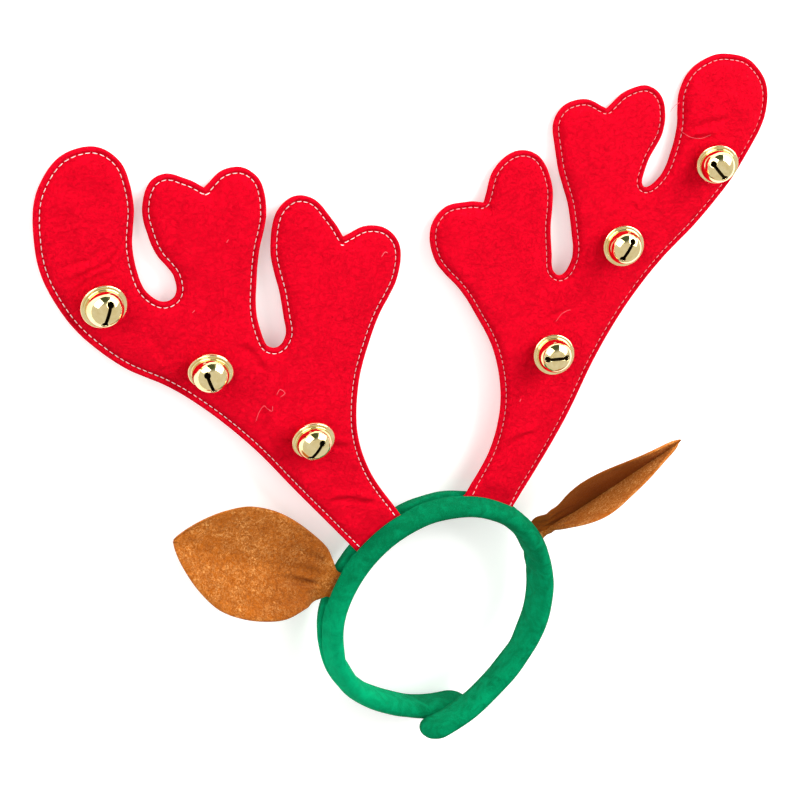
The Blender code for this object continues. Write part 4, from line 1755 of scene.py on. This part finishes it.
@dataclass
class Headband:
    """The whole headband, in the order that it is made."""

    band: PlushBand = field(default_factory=PlushBand)
    stitching: Stitching = field(default_factory=Stitching)
    sunk_stitching: Stitching = Stitching(radius=0.16, bow=0.45, seed=6)
    # A pinker copy of the white thread for the right antler's sunk stitches: the pink is painted shade and
    # red light from the felt round them.
    painted_shade_thread: ThreadFinish = ThreadFinish("painted_shade_thread", (1.0, 0.60, 0.62))
    bell: JingleBell = field(default_factory=JingleBell)
    left_creases: tuple[Crease, ...] = (
        Crease((-147.0, 222.5), (-170.0, 208.0), 0.55),
        Crease((-152.0, 224.0), (-176.0, 214.0), 0.35, 2.2),
        Crease((-97.0, 166.0), (-84.0, 152.0), 0.4, 2.0),
        Crease((-77.0, 150.0), (-88.0, 128.0), 0.4, 2.0),
        Crease((-60.0, 106.0), (-44.0, 104.0), 0.35, 2.0),
        Crease((-58.0, 76.0), (-32.0, 72.0), 0.5, 2.0),
        Crease((-48.0, 92.0), (-34.0, 84.0), 0.3, 2.5),
        Crease((-128.0, 164.0), (-140.0, 178.0), 0.3, 2.5),
    )
    right_creases: tuple[Crease, ...] = (
        Crease((136.0, 224.0), (157.0, 228.0), 0.4, 1.8),
        Crease((142.0, 231.0), (162.0, 236.0), 0.3, 1.8),
        Crease((60.0, 147.0), (72.0, 152.0), 0.3, 1.8),
        Crease((40.0, 84.0), (56.0, 90.0), 0.4, 2.0),
        Crease((104.0, 200.0), (112.0, 196.0), 0.3, 2.0),
    )
    left_lint: tuple[Lint, ...] = (
        Lint(((-92.0, 127.0), (-90.0, 131.5), (-87.5, 134.0), (-86.0, 132.5))),
        Lint(((-86.5, 133.0), (-84.0, 131.0), (-83.5, 133.5))),
        Lint(((-81.0, 138.0), (-79.0, 140.5), (-77.0, 138.5), (-79.5, 137.0)), 0.12),
        Lint(((-26.0, 196.0), (-24.0, 198.0), (-22.5, 197.2)), 0.14),
        Lint(((-118.0, 186.0), (-116.6, 187.2)), 0.12),
        Lint(((-100.0, 216.0), (-99.0, 217.4)), 0.12),
    )
    right_lint: tuple[Lint, ...] = (
        Lint(((66.0, 145.5), (68.5, 148.5), (72.0, 150.2), (74.5, 150.4))),
        Lint(((135.0, 232.5), (140.0, 228.0), (147.0, 226.0), (152.0, 227.5))),
        Lint(((128.0, 242.0), (131.0, 245.0), (133.5, 246.0)), 0.12),
        Lint(((46.0, 107.0), (46.8, 108.4)), 0.14),
    )

    def antlers(self, lay: Matrix, felt: Material) -> None:
        """Build both antlers with their stitching and lint."""
        pink = ThreadFinish("pink_fibre", (0.95, 0.15, 0.19)).make()
        sides = (
            ("left", self.left_creases, self.left_lint, 7, self.stitching, ThreadFinish()),
            ("right", self.right_creases, self.right_lint, 12, self.sunk_stitching, self.painted_shade_thread),
        )
        for side, creases, lint, seed, stitching, thread in sides:
            spots = tuple((spot.x, spot.y) for node, spot in BELL_SPOTS.items() if side in node)
            antler = FeltAntler(f"antler_{side}", creases, spots, seed)
            item = antler.build(lay, felt)
            settle_piece(item, Slot.FELT, antler.node)
            tree = stitching.tree(thread.make())
            stitches = stitching.sew(f"stitching_{side}", antler.stitch_paths(), lay, tree)
            settle_piece(stitches, Slot.FELT)
            fibres = LooseFibres(lint).build(f"fibres_{side}", lay, pink, item)
            settle_piece(fibres, Slot.FELT)

    def bells(self, lay: Matrix) -> None:
        """Build the six bells."""
        brass = BrassFinish().make()
        hollow = BrassFinish("shadowed_brass", (0.05, 0.032, 0.008), (0.02, 0.012, 0.003), 0.55).make()
        for node, spot in BELL_SPOTS.items():
            item = self.bell.build(node, spot, lay, brass, hollow)
            settle_piece(item, Slot.BRASS, node)

    def ears(self, lay: Matrix, plush: Material) -> None:
        """Build both ears."""
        pair = (
            PlushEar(
                "ear_left", -63.0, 65.0, 2.0, (-135.6, 74.3, 0.0), 3.0, 46.0, 3, pleat=2.8, glitter=0.95,
                lower_trim=0.26, trim_at=0.10, trim_reach=0.09,
            ),
            PlushEar(
                "ear_right", 63.0, 36.0, -6.5, (127.7, 76.3, 23.9), 31.0, 108.7, 5,
                shaded_half=True,
                # More painted light for the right ear, which faces away from the light.
                glitter=1.35,
                upper_flare=0.5,
                lower_trim=0.55,
                leaf=Table(
                    (0.00, 0.06, 0.12, 0.20, 0.33, 0.46, 0.60, 0.71, 0.83, 0.93, 1.00),
                    (7.0, 7.0, 8.4, 14.5, 25.0, 29.3, 28.0, 23.5, 16.5, 8.5, 0.8),
                ),
            ),
        )
        for ear in pair:
            item = ear.build(lay, plush)
            settle_piece(item, Slot.EAR, ear.node)

    def build(self, lay: Matrix) -> None:
        """Build every piece."""
        plush = self.band.build(lay, PlushFinish().make())
        settle_piece(plush, Slot.PLUSH, "headband")
        self.antlers(lay, FeltFinish().make())
        self.bells(lay)
        self.ears(lay, EarFinish().make())


def main() -> None:
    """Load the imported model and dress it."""
    logging.basicConfig(level=logging.INFO, format="%(name)s: %(message)s")
    for item in list(bpy.data.objects):
        bpy.data.objects.remove(item, do_unlink=True)
    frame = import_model()
    lay = LaidFrame().matrix(frame["record"])
    Studio().build(lay)
    Headband().build(lay)


if __name__ == "__main__":
    main()
